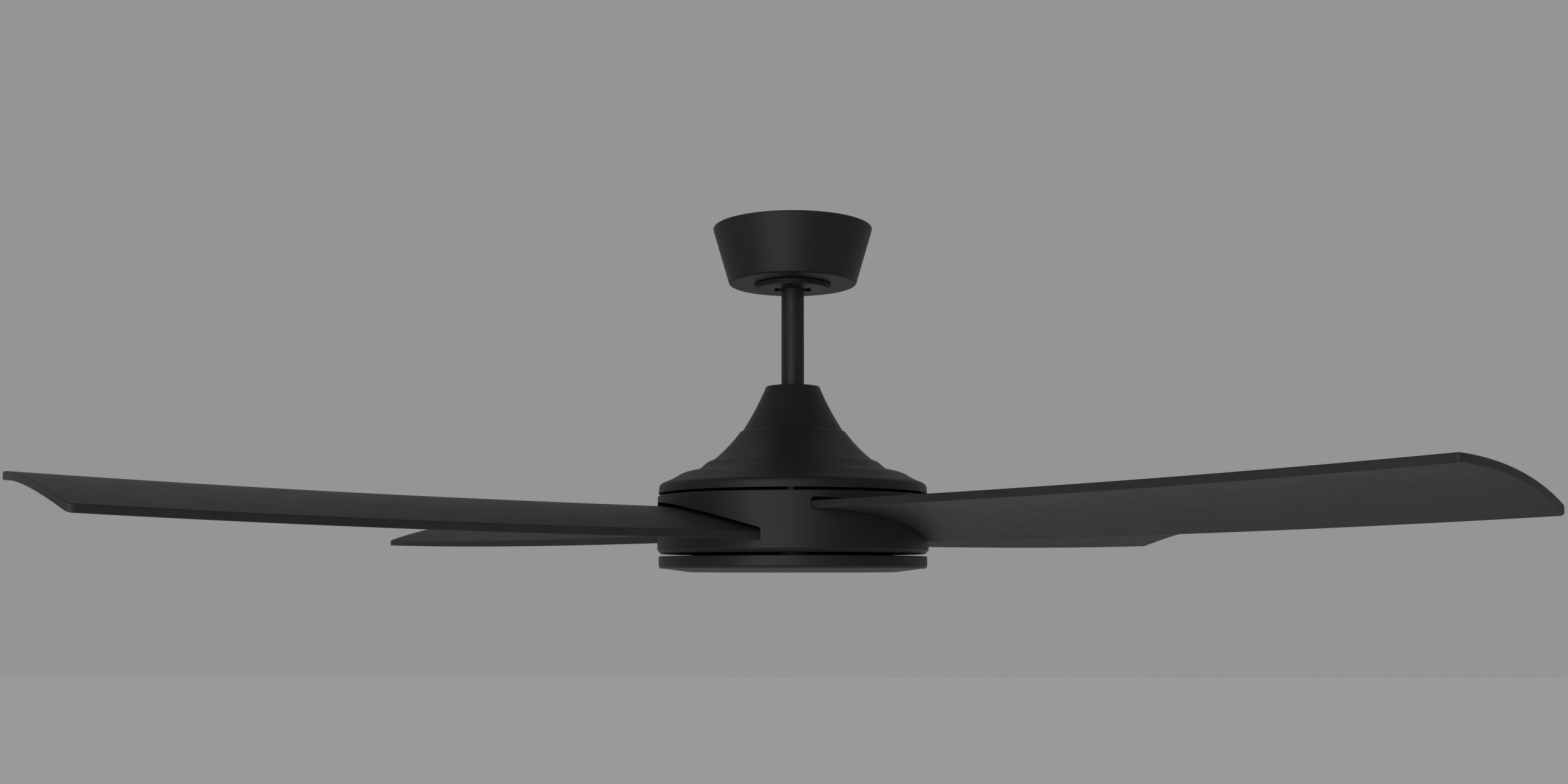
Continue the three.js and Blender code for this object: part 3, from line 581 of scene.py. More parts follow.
class Circle(Tree):
    """Copies of a part, evenly round the fan's axis, each tilted about its own radius."""

    def __init__(self) -> None:
        """Builds the tree."""
        super().__init__("parts_round_a_circle", {"Part": "Object", "Count": "Int", "Radius": "Float",
                                                  "Height": "Float", "Turn": "Float", "Tilt": "Float"})
        given = self.given
        index = self.add("GeometryNodeInputIndex").outputs["Index"]
        step = self.calculate("DIVIDE", math.tau, given["Count"])
        facing = self.turn_about((0, 0, 1), self.calculate("MULTIPLY", index, step))
        offset = {"Vector": self.vector(X=given["Radius"]), "Rotation": facing}
        place = self.add("FunctionNodeRotateVector", offset).outputs["Vector"]
        spots = {"Count": given["Count"], "Position": place}
        points = self.add("GeometryNodePoints", spots).outputs["Geometry"]
        turned_in = {"Instances": self.copies(points, Rotation=facing),
                     "Rotation": self.turn_about((1, 0, 0), given["Tilt"])}
        tilted = self.add("GeometryNodeRotateInstances", turned_in).outputs["Instances"]
        move = {"Geometry": tilted, "Translation": self.vector(Z=given["Height"]),
                "Rotation": self.turn_about((0, 0, 1), given["Turn"])}
        self.close(self.add("GeometryNodeTransform", move).outputs["Geometry"])

    def round_axis(self, name: str, finish: Finish, part: Piece, count: int, radius: float,
                   height: float, turn: float = 0.0, tilt: float = 0.0) -> Piece:
        """Runs the tree and removes the part that it copied.

        Args:
            name: the new piece's name.
            finish: its material.
            part: the part to copy, made at the origin.
            count: number of copies.
            radius: of the circle, in millimetres.
            height: of the circle, in millimetres.
            turn: degrees to the first copy.
            tilt: degrees about each copy's own radius.

        Returns:
            The piece, as a plain mesh.
        """
        piece = self.make(name, finish, Part=part, Count=count, Radius=radius * MM, Height=height * MM,
                          Turn=math.radians(turn), Tilt=math.radians(tilt))
        bpy.data.objects.remove(part)
        return piece


class Stack(Tree):
    """Copies of a sheet, one on the other."""

    def __init__(self) -> None:
        """Builds the tree."""
        super().__init__("sheets_in_a_stack", {"Part": "Object", "Count": "Int", "Pitch": "Float"})
        step = self.vector(Z=self.given["Pitch"])
        line = self.add("GeometryNodeMeshLine", {"Count": self.given["Count"], "Offset": step})
        self.close(self.copies(line.outputs["Mesh"]))


class Coil(Tree):
    """Turns of round wire about the fan's axis, side by side and in layers."""

    def __init__(self) -> None:
        """Builds the tree."""
        super().__init__("turns_of_wire", {"Turns": "Int", "Layers": "Int", "Pitch": "Float", "Wire": "Float",
                                           "Radius": "Float", "Height": "Float"})
        given = self.given
        index = self.add("GeometryNodeInputIndex").outputs["Index"]
        layer = self.calculate("FLOOR", self.calculate("DIVIDE", index, given["Turns"]))
        column = self.calculate("MODULO", index, given["Turns"])
        radius = self.calculate("MULTIPLY_ADD", column, given["Pitch"], given["Radius"])
        height = self.calculate("MULTIPLY_ADD", layer, given["Pitch"], given["Height"])
        total = self.calculate("MULTIPLY", given["Turns"], given["Layers"])
        spots = {"Count": total, "Position": self.vector(Z=height)}
        points = self.add("GeometryNodePoints", spots).outputs["Geometry"]
        unit = {"Resolution": 72, "Radius": 1.0}
        loop = self.add("GeometryNodeCurvePrimitiveCircle", unit).outputs["Curve"]
        placing = {"Points": points, "Instance": loop, "Scale": self.vector(X=radius, Y=radius, Z=1.0)}
        turns = self.add("GeometryNodeInstanceOnPoints", placing).outputs["Instances"]
        real = self.add("GeometryNodeRealizeInstances", {"Geometry": turns}).outputs["Geometry"]
        wire = {"Resolution": 8, "Radius": self.calculate("MULTIPLY", given["Wire"], 0.5)}
        section = self.add("GeometryNodeCurvePrimitiveCircle", wire).outputs["Curve"]
        swept = self.add("GeometryNodeCurveToMesh", {"Curve": real, "Profile Curve": section}).outputs["Mesh"]
        self.close(self.add("GeometryNodeSetShadeSmooth", {"Geometry": swept}).outputs["Geometry"])


# ---- fasteners ----


@dataclass(frozen=True)
class Screw:
    """A pan-head screw with a cross recess. Its head hangs below z = 0 and its thread rises above it."""

    head_radius: float
    head_height: float
    shank_radius: float
    length: float
    pitch: float = 0.8
    thread: float = 0.25  # height of the thread's crests

    def part(self, name: str) -> Piece:
        """Makes the screw on the fan's axis."""
        r, h, shank = self.head_radius, self.head_height, self.shank_radius
        root = shank - self.thread
        corners: list[Corner] = [(0, -h), (r * 0.55, -h, h * 0.5), (r, -h * 0.35, h * 0.3), (r, 0, 0.15),
                                 (shank, 0)]
        crest = self.pitch
        while crest + self.pitch < self.length:
            corners += [(root, crest - self.pitch / 2), (shank, crest)]
            crest += self.pitch
        corners += [(root, self.length - 0.4), (root - 0.3, self.length), (0, self.length)]
        piece = turned(name, corners, 32, steps=3)
        width, deep = r * 0.14, h * 0.55
        cross = []
        for turn in (0, 90):
            outline = [(-r * 0.55, -width), (r * 0.55, -width), (r * 0.55, width), (-r * 0.55, width)]
            cross.append(placed(prism("recess", outline, -h - 1, deep - h), about_axis(turn)))
        return shaded(carved(piece, cross))


# ---- ceiling side ----


@dataclass
class CeilingSide:
    """Bracket, canopy, escutcheon, receiver and terminals: all that stays fixed to the ceiling."""

    body: str = "ceiling_side"
    hole: float = 20.0  # radius, for the rod
    roll: float = 5.5  # width of the rim that is rolled in against the ceiling
    floor_radius: float = 60.05
    floor_fillet: float = 2.4
    rim_fillet: float = 1.4
    screw_hole: float = 2.4
    screw_circle: float = 27.0
    screw: Screw = Screw(4, 1.9, 2, 18)
    notch_radius: float = 17.7
    notch_half_angle: float = 30.0
    escutcheon_hole: float = 11.3
    head_groove: tuple[float, float] = (21.0, 33.0)  # radii of the hidden groove round the screws' heads
    head_groove_depth: float = 2.8
    upper_tier: float = 2.7  # height of the escutcheon's wider tier
    tier_step: float = 1.2  # how much narrower its lower tier is

    def canopy(self) -> None:
        """Makes the spun cover that hides the bracket."""
        floor, top = span("canopy")
        rim = reach("canopy")
        inner = top - SHEET
        outline = [(rim - self.roll, top), (rim - 0.15, top, self.rim_fillet),
                   (self.floor_radius, floor, self.floor_fillet), (self.hole, floor, 0.4),
                   (self.hole, floor + SHEET, 0.4), (self.floor_radius - SHEET, floor + SHEET, 1.2),
                   (rim - SHEET - 0.5, inner, 0.5), (rim - self.roll, inner)]
        holes = [drill(self.screw_hole, floor - 2, floor + 4, shift(side * self.screw_circle), 32)
                 for side in (-1, 1)]
        piece = carved(turned("canopy_shell", outline), holes)
        dressed(shaded(piece), BLACK_PAINT, self.body, "black_paint", "canopy")

    def escutcheon(self) -> None:
        """Makes the notched ring that clips under the canopy."""
        low, top = span("escutcheon")
        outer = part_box("escutcheon")[1].y / MM
        recess = top - self.head_groove_depth
        step = top - self.upper_tier
        foot = outer - self.tier_step
        near, far = self.head_groove
        inner = self.escutcheon_hole
        outline = [(inner, top), (near, top), (near, recess), (far, recess), (far, top), (outer, top, 0.4),
                   (outer, step, 0.5), (foot, step), (foot, low, 0.7), (inner, low, 0.7)]
        notches = [sector("notch", inner - 2, self.notch_radius, middle, self.notch_half_angle, low - 1,
                          top + 1) for middle in (0, 180)]
        piece = carved(turned("escutcheon_ring", outline, 128), notches)
        dressed(shaded(piece, ease=0.25), BLACK_PAINT, self.body, "black_paint", "escutcheon")

    def fittings(self, circle: Circle) -> None:
        """Makes the bracket, the electrical boxes and the canopy's screws."""
        for node, ease, finish, slot in (("hanger_bracket", 0.35, ZINC_STEEL, "zinc_steel"),
                                         ("receiver_module", 0.8, BLACK_NYLON, "nylon_black"),
                                         ("terminal_block", 0.5, WHITE_NYLON, "nylon_white")):
            dressed(shaded(copied(node, f"{node}_finished"), ease), finish, self.body, slot, node)
        floor = span("canopy")[0] - GAP
        screws = circle.round_axis("canopy_screws", ZINC_STEEL, self.screw.part("screw"), 2,
                                   self.screw_circle, floor)
        dressed(screws, ZINC_STEEL, self.body, "zinc_steel", "canopy_screw_left", "canopy_screw_right")

    def build(self, circle: Circle) -> None:
        """Builds the whole sub-assembly."""
        self.canopy()
        self.escutcheon()
        self.fittings(circle)


# ---- hanging side ----


@dataclass
class Suspension:
    """Ball, rod, coupling and their pins."""

    body: str = "hanging_side"
    ball_body: str = "ball"
    ball_bore: float = 11.2
    rod_bore: float = 9.2
    cross_pin: float = 2.5
    coupling_pin: float = 3.0
    coupling_pin_z: float = -180.0
    set_screw_z: float = -174.0
    wall: float = 17.0  # outer radius of the coupling's sleeve
    flange: float = 26.0
    flange_top: float = -206.0
    shaft: float = 8.5
    pin_heights: tuple[float, float, float] = (-20.5, -18.0, 25.0)  # head's back, shoulder and point
    key_radius: float = 1.4  # of the round recess in a set screw
    clip_x: float = 21.5
    clip_hole: float = 1.3
    clip_wire: float = 0.85

    def ball(self) -> None:
        """Makes the hanger ball and the pin that locks it to the rod."""
        low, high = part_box("hanger_ball")
        radius, middle = high.x / MM, (low.z + high.z) / 2 / MM
        tilt = math.degrees(math.asin(self.ball_bore / radius))
        outline = arc((0, middle), radius, tilt - 90, 90 - tilt, 48)
        piece = carved(turned("hanger_ball_turned", outline, 96),
                       [bar("hole", "Y", self.cross_pin + GAP, -30, 30, middle)])
        dressed(shaded(piece, ease=0.4), BLACK_NYLON, self.ball_body, "nylon_black", "hanger_ball")
        pin = shaded(bar("cross_pin_turned", "Y", self.cross_pin, -19, 19, middle, edge=0.5))
        dressed(pin, GROUND_STEEL, self.ball_body, "steel", "cross_pin")

    def rod(self) -> None:
        """Makes the rod with its two cross holes."""
        low, high = span("downrod")
        middle = (span("hanger_ball")[0] + span("hanger_ball")[1]) / 2
        tube = ring("downrod_tube", self.rod_bore, reach("downrod"), low, high, 0.4, 96)
        holes = [bar("hole", "Y", self.cross_pin + GAP, -20, 20, middle),
                 bar("hole", "X", self.coupling_pin + GAP, -20, 20, self.coupling_pin_z)]
        dressed(shaded(carved(tube, holes)), BLACK_PAINT, self.body, "black_paint", "downrod")

    def coupling(self) -> None:
        """Makes the coupling, its pin with the hole for the clip, and its two set screws."""
        low, high = span("rod_coupling")
        socket = reach("downrod") + GAP
        floor = span("downrod")[0] - GAP
        bore = self.shaft + GAP
        outline = [(bore, low, 0.3), (self.flange, low, 0.6), (self.flange, self.flange_top, 0.6),
                   (self.wall, self.flange_top, 1.5), (self.wall, high, 0.8), (socket, high, 0.4),
                   (socket, floor), (bore, floor)]
        holes = [bar("hole", "X", self.coupling_pin + GAP, -30, 30, self.coupling_pin_z),
                 bar("hole", "Y", self.coupling_pin + GAP, -30, 30, self.set_screw_z)]
        piece = shaded(carved(turned("rod_coupling_turned", outline, 96), holes))
        dressed(piece, ZINC_STEEL, self.body, "zinc_steel", "rod_coupling")
        shank, head = self.coupling_pin, self.coupling_pin + 2
        back, shoulder, point = self.pin_heights
        section = [(0, back), (head, back, 0.8), (head, shoulder, 0.4), (shank, shoulder),
                   (shank, point, 1.2), (0, point)]
        lying = shift(0, 0, self.coupling_pin_z) @ Matrix.Rotation(math.pi / 2, 4, "Y")
        pin = placed(turned("coupling_pin_turned", section, 48), lying)
        hole = drill(self.clip_hole, -6, 6, shift(self.clip_x, 0, self.coupling_pin_z))
        dressed(shaded(carved(pin, [hole])), GROUND_STEEL, self.body, "steel", "coupling_pin")
        for side, node in ((1, "set_screw_back"), (-1, "set_screw_front")):
            near, far = socket, self.wall + 4
            start, end = min(side * near, side * far), max(side * near, side * far)
            screw = bar(f"{node}_turned", "Y", self.coupling_pin, start, end, self.set_screw_z, edge=0.6)
            key = bar("key", "Y", self.key_radius, side * far - 2.5, side * far + 2.5, self.set_screw_z)
            dressed(shaded(carved(screw, [key])), GROUND_STEEL, self.body, "steel", node)

    def clip(self) -> None:
        """Bends the hairpin of round wire that keeps the coupling's pin in."""
        z = self.coupling_pin_z
        x, bow = self.clip_x, 21.6
        path = [(x, 0, z - 7.6), (x, 0, z), (x, 0, z + 7), (bow, 1.4, z + 9.2), (bow, 4.2, z + 9.2),
                (x, 5.6, z + 7), (x, 4.6, z), (x, 5.9, z - 6.6)]
        curve = bpy.data.curves.new("hairpin", "CURVE")
        curve.dimensions = "3D"
        curve.bevel_depth = self.clip_wire * MM
        curve.bevel_resolution = 3
        curve.resolution_u = 8
        curve.use_fill_caps = True
        spline = curve.splines.new("BEZIER")
        spline.bezier_points.add(len(path) - 1)
        for point, place in zip(spline.bezier_points, path):
            point.co = Vector(place) * MM
            point.handle_left_type = point.handle_right_type = "AUTO"
        wire = linked("hairpin", curve)
        bpy.context.view_layer.update()
        graph = bpy.context.evaluated_depsgraph_get()
        mesh = bpy.data.meshes.new_from_object(wire.evaluated_get(graph))
        bpy.data.objects.remove(wire)
        piece = linked("pin_clip_bent", mesh)
        dressed(shaded(welded(piece)), GROUND_STEEL, self.body, "steel", "pin_clip")

    def build(self) -> None:
        """Builds the whole sub-assembly."""
        self.ball()
        self.rod()
        self.coupling()
        self.clip()


@dataclass
class ConeCover:
    """The stepped cone between the rod and the drum, with the bracket and screws that hold it."""

    body: str = "hanging_side"
    mouth: float = 25.2  # radius of the open top
    wall: float = 1.0  # how far the inner face is moved in and down
    lug_inner: float = 50.0
    lug_outer: float = 58.4
    lug_half_width: float = 4.5
    lug_height: float = 3.5
    screw_circle: float = 54.0
    screw: Screw = Screw(3.6, 2, 2, 5)
    ledges: tuple[tuple[Corner, Corner], ...] = (
        ((33.2, -172.0), (46.9, -193.9)), ((49.4, -194.6), (50.4, -196.4)),
        ((60.2, -209.7), (74.4, -221.6)), ((78.9, -222.5), (81.9, -225.3)),
        ((84.9, -228.4), (89.4, -231.2)), ((101.0, -232.5), (106.8, -236.1)),
        ((112.4, -240.0), (120.2, -242.9)), ((124.0, -244.4), (124.3, -247.6)),
    )  # control point and end point of each curve down the outside

    def outside(self) -> list[Corner]:
        """Gives the outline of the cone's outer face, from its mouth down."""
        low, high = span("cone_cover")
        points: list[Corner] = [(self.mouth, high)]
        for control, end in self.ledges:
            points += bend(points[-1], control, end)
        return [*points, (reach("cone_cover"), low)]

    def shell(self) -> None:
        """Makes the pressed cone with its three inner lugs."""
        low, high = span("cone_cover")
        outer = self.outside()
        inner = [(r - self.wall, max(z - self.wall, low)) for r, z in outer[1:-1]]
        outline = [*outer, (outer[-1][0] - self.wall, low), *inner[::-1], (self.mouth - self.wall, high)]
        bottom = span("rod_coupling")[0]
        near, far, half = self.lug_inner, self.lug_outer, self.lug_half_width
        lug = [(near, -half, 1.5), (far, -half), (far, half), (near, half, 1.5)]
        lugs = [placed(prism("lug", lug, bottom, bottom + self.lug_height), about_axis(angle))
                for angle in THIRDS]
        holes = drills(SCREW_HOLE, bottom - 2, bottom + 6, self.screw_circle)
        piece = carved(carved(turned("cone_cover_shell", outline), lugs, "UNION"), holes)
        dressed(shaded(piece, angle=28), BLACK_PAINT, self.body, "black_paint", "cone_cover")

    def build(self, circle: Circle) -> None:
        """Builds the whole sub-assembly."""
        self.shell()
        bracket = shaded(copied("cover_bracket", "cover_bracket_finished"), 0.3)
        dressed(bracket, ZINC_STEEL, self.body, "zinc_steel", "cover_bracket")
        seat = span("cover_bracket")[0] - GAP
        screws = circle.round_axis("cover_screws", ZINC_STEEL, self.screw.part("screw"), 3,
                                   self.screw_circle, seat, turn=THIRDS[0])
        dressed(screws, ZINC_STEEL, self.body, "zinc_steel", *(f"cover_screw_{i}" for i in (1, 2, 3)))


@dataclass
class Motor:
    """Shaft, stator, magnets, bearings and the two halves of the motor's shell."""

    still: str = "hanging_side"
    turning: str = "rotor"
    shaft_bore: float = 5.5
    shaft_radius: float = 8.5
    shoulder: float = -260.2
    race_bore: float = 8.8
    inner_race: float = 12.0
    outer_race: float = 16.5
    balls: int = 7
    ball_radius: float = 1.9
    poles: int = 9
    sheet: float = 0.5  # thickness of a lamination with its varnish
    magnets: int = 18
    magnet_bore: float = 48.2
    magnet_gap: float = 0.5  # degrees, from each end of a magnet to the middle of the gap
    wire: float = 1.45
    turns: int = 10  # in each layer of a winding
    yoke: float = 28.0  # radius at the bottom of the stator's slots
    slot_half_angle: float = 9.0
    mouth_half_angle: float = 2.0
    hub: float = 23.0
    hub_hole: float = 12.8
    shell_wall: float = 52.0  # inner radius of the shell
    well: tuple[float, float] = (-270.0, -250.0)  # heights between which the screws' holes are cut
    screw_circle: float = 56.0
    screw: Screw = Screw(3.6, 2, 1.9, 12)

    def shaft(self) -> None:
        """Makes the hollow shaft with its collar, and the spacer and nut that hold the light to it."""
        low, high = span("motor_shaft")
        collar, bore, radius = reach("motor_shaft"), self.shaft_bore, self.shaft_radius
        collar_top = span("cover_bracket")[0] - GAP
        outline = [(bore, low, 0.4), (radius, low, 0.8), (radius, self.shoulder),
                   (collar, self.shoulder, 0.5), (collar, collar_top, 0.5), (radius, collar_top),
                   (radius, high, 0.8), (bore, high, 0.4)]
        shaft = shaded(turned("motor_shaft_turned", outline, 96))
        dressed(shaft, GROUND_STEEL, self.still, "steel", "motor_shaft")
        spacer = ring("light_spacer_turned", self.race_bore, self.inner_race, *span("light_spacer"), 0.4)
        dressed(shaded(spacer), CAST_ALUMINIUM, self.still, "cast_aluminium", "light_spacer")
        nut_low, nut_high = span("shaft_nut")
        across = reach("shaft_nut") * 2 / math.sqrt(3)
        hexagon = arc((0, 0), across, 90, 390, 5)
        tool = drill(radius + GAP, nut_low - 5, nut_high + 5, shift(0), SMALL)
        nut = carved(prism("shaft_nut_turned", hexagon, nut_low, nut_high), [tool])
        dressed(shaded(nut, ease=0.7), TURNED_BRASS, self.still, "brass", "shaft_nut")

    def stator(self, stack: Stack, coil: Coil) -> None:
        """Makes the stack of stamped sheets and the two wound ends."""
        low, high = span("stator_core")
        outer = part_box("stator_core")[1].y / MM
        plate = self.sheet * 0.9
        sheet = ring("sheet", self.shaft_radius + GAP, outer, low, low + plate, 0.0, 96)
        slots = []
        for k in range(self.poles):
            middle = k * 360 / self.poles
            for inside, outside, half in ((self.yoke, outer - 4, self.slot_half_angle),
                                          (outer - 5, outer + 1, self.mouth_half_angle)):
                slots.append(sector("slot", inside, outside, middle, half, low - 1, low + 1))
        part = shaded(carved(sheet, slots))
        count = round((high - low) / self.sheet)
        core = stack.make("stator_laminations", LAMINATION_STEEL, Part=part, Count=count,
                          Pitch=self.sheet * MM)
        bpy.data.objects.remove(part)
        dressed(core, LAMINATION_STEEL, self.still, "steel", "stator_core")
        for node in ("winding_upper", "winding_lower"):
            bottom, top = span(node)
            layers = int((top - bottom) / self.wire)
            piece = coil.make(f"{node}_turns", COPPER_WIRE, Turns=self.turns, Layers=layers,
                              Pitch=self.wire * MM, Wire=self.wire * 0.96 * MM,
                              Radius=(self.yoke + 0.6) * MM, Height=(bottom + self.wire * 0.6) * MM)
            dressed(piece, COPPER_WIRE, self.still, "copper", node)

    def bearings(self, circle: Circle) -> None:
        """Makes the races of both bearings, with the balls in their cages."""
        pitch = (self.inner_race + self.outer_race) / 2
        for name in ("upper", "lower"):
            low, high = span(f"{name}_inner_race")
            inner = ring(f"{name}_inner_race_ground", self.race_bore, self.inner_race, low, high, 0.6, 96)
            dressed(shaded(inner), GROUND_STEEL, self.still, "steel", f"{name}_inner_race")
            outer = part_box(f"{name}_outer_race")[1].x / MM
            race = ring(f"{name}_outer_race_ground", self.outer_race, outer, low, high, 0.6, 96)
            dressed(shaded(race), GROUND_STEEL, self.turning, "steel", f"{name}_outer_race")
            middle = (low + high) / 2
            cage = ring(f"{name}_ball_cage", pitch - 0.7, pitch + 0.7, middle - 0.8, middle + 0.8, 0.25, 96)
            ball = shaded(turned("ball", arc((0, 0), self.ball_radius, -90, 90, 16), 32))
            balls = circle.round_axis(f"{name}_balls", GROUND_STEEL, ball, self.balls, pitch, middle)
            dressed(shaded(carved(cage, [balls], "UNION")), GROUND_STEEL, f"{name}_balls", "steel",
                    f"{name}_caged_balls")

    def shell(self, circle: Circle) -> None:
        """Makes both halves of the shell, the magnets inside it and the screws that close it."""
        pocket = self.bearing_pocket()
        for node, outline in (("rotor_top", self.top_outline(pocket)),
                              ("rotor_bottom", self.bottom_outline(pocket))):
            wells = drills(SCREW_HOLE, *self.well, self.screw_circle)
            piece = shaded(carved(turned(f"{node}_cast", outline, 128), wells))
            dressed(piece, CAST_ALUMINIUM, self.turning, "cast_aluminium", node)
        low, high = span("magnet_ring")
        half = 180 / self.magnets - self.magnet_gap
        magnet = sector("magnet", self.magnet_bore, reach("magnet_ring"), 0, half, 0, high - low)
        segments = circle.round_axis("ferrite_magnets", FERRITE, shaded(magnet, ease=0.3), self.magnets,
                                     0.0, low)
        dressed(segments, FERRITE, self.turning, "ferrite", "magnet_ring")
        seat = span("drum")[1] + GAP
        screws = circle.round_axis("rotor_screws", ZINC_STEEL, self.screw.part("screw"), 3,
                                   self.screw_circle, seat, turn=THIRDS[0], tilt=180)
        dressed(screws, ZINC_STEEL, self.turning, "zinc_steel", *(f"rotor_screw_{i}" for i in (1, 2, 3)))

    def bearing_pocket(self) -> float:
        """Radius of the pocket that an outer race sits in, in millimetres."""
        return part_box("upper_outer_race")[1].x / MM + GAP

    def top_outline(self, pocket: float) -> list[Corner]:
        """Gives the section of the shell's upper half."""
        low, high = span("rotor_top")
        seat = span("upper_outer_race")[1] + GAP
        split = span("rotor_bottom")[1] + GAP
        outer = reach("rotor_top")
        return [(self.hub_hole, high), (outer, high, 1.0), (outer, split, 0.3), (self.hub, split, 1.5),
                (self.hub, low, 0.6), (pocket, low, 0.3), (pocket, seat), (self.hub_hole, seat)]

    def bottom_outline(self, pocket: float) -> list[Corner]:
        """Gives the section of the shell's lower half."""
        low, high = span("rotor_bottom")
        race_low, race_high = span("lower_outer_race")
        floor = race_low - GAP
        outer = reach("rotor_bottom")
        return [(self.hub_hole, low), (outer, low, 2.5), (outer, high, 0.3), (self.shell_wall, high, 0.3),
                (self.shell_wall, floor, 1.5), (self.hub, floor, 1.5), (self.hub, race_high, 0.4),
                (pocket, race_high, 0.3), (pocket, floor), (self.hub_hole, floor)]

    def build(self, circle: Circle, stack: Stack, coil: Coil) -> None:
        """Builds the whole sub-assembly."""
        self.shaft()
        self.stator(stack, coil)
        self.bearings(circle)
        self.shell(circle)


@dataclass
class Light:
    """The housing, its board and driver, and the cover that twists off."""

    body: str = "hanging_side"
    cover_body: str = "light_cover"
    wall: float = 1.5
    edge: float = 2.9  # radius of the housing's lower edge
    shaft_hole: float = 8.8
    flat: float = 95.0  # radius of the cover's flat middle
    dish: float = 60.0  # radius of the bend round that middle
    rim: float = 2.5  # thickness of the cover's rim
    tabs: tuple[float, ...] = (30.0, 150.0, 270.0)
    tab_half_angle: float = 8.0
    tab_top: float = -317.2
    lug_top: float = -315.4
    tab_height: float = 1.5
    board_hole: float = 48.0
    chip: tuple[float, float, float] = (1.75, 1.4, 0.8)  # half length, half width and height
    chip_rings: tuple[tuple[int, float], ...] = ((16, 62.0), (22, 80.0), (28, 98.0))  # count and radius

    def housing(self) -> None:
        """Makes the shallow pan that hangs on the shaft."""
        low, high = span("light_housing")
        outer = reach("light_housing")
        ceiling = high - self.wall
        lip = reach("lens") + 0.7
        inside = outer - self.wall
        outline = [(self.shaft_hole, ceiling), (inside, ceiling, 0.6), (inside, low + self.edge, 1.2),
                   (lip, low + self.wall, 0.3), (lip, low, 0.3), (outer, low, self.edge), (outer, high, 0.9),
                   (self.shaft_hole, high)]
        tabs = [sector("tab", lip - 0.1, outer - 1, middle, self.tab_half_angle,
                       self.tab_top - self.tab_height, self.tab_top) for middle in self.tabs]
        piece = carved(turned("light_housing_pan", outline), tabs, "UNION")
        dressed(shaded(piece), BLACK_PAINT, self.body, "black_paint", "light_housing")

    def cover(self) -> None:
        """Makes the shallow dished cover with the lugs that twist behind the housing's tabs."""
        low, rim = span("lens")
        radius = reach("lens")
        edge = span("light_housing")[0] + 0.1
        inside = radius - self.rim
        outline = [(0, low), (self.flat, low, self.dish), (radius, edge, 0.8), (radius, rim, 0.4),
                   (inside, rim, 0.4), (inside, edge + 1, 0.8), (self.flat, low + self.wall, self.dish),
                   (0, low + self.wall)]
        end = reach("light_housing") - self.wall - 2 * GAP
        lugs = [sector("lug", radius - 1, end, middle, self.tab_half_angle,
                       self.lug_top - self.tab_height, self.lug_top) for middle in self.tabs]
        piece = carved(turned("light_cover_moulding", outline, steps=8), lugs, "UNION")
        dressed(shaded(piece), LENS_ACRYLIC, self.cover_body, "lens_smoke", "lens")

    def electronics(self, circle: Circle) -> None:
        """Makes the board, the rings of light-emitting chips on it and the driver."""
        low, high = span("led_board")
        board = ring("led_board_plate", self.board_hole, reach("led_board"), low, high, 0.1, 128)
        dressed(shaded(board), WHITE_MASK, self.body, "circuit_white", "led_board")
        x, y, tall = self.chip
        outline = [(-x, -y, 0.3), (x, -y, 0.3), (x, y, 0.3), (-x, y, 0.3)]
        for number, (count, radius) in enumerate(self.chip_rings, 1):
            chip = shaded(prism("chip", outline, -tall, 0.0, steps=3), ease=0.1)
            piece = circle.round_axis(f"led_ring_{number}", PHOSPHOR, chip, count, radius, low,
                                      turn=number * 4)
            dressed(piece, PHOSPHOR, self.body, "circuit_white")
        driver = shaded(copied("led_driver", "led_driver_finished"), 0.8)
        dressed(driver, WHITE_NYLON, self.body, "nylon_white", "led_driver")

    def build(self, circle: Circle) -> None:
        """Builds the whole sub-assembly."""
        self.housing()
        self.cover()
        self.electronics(circle)


# ---- turning side ----


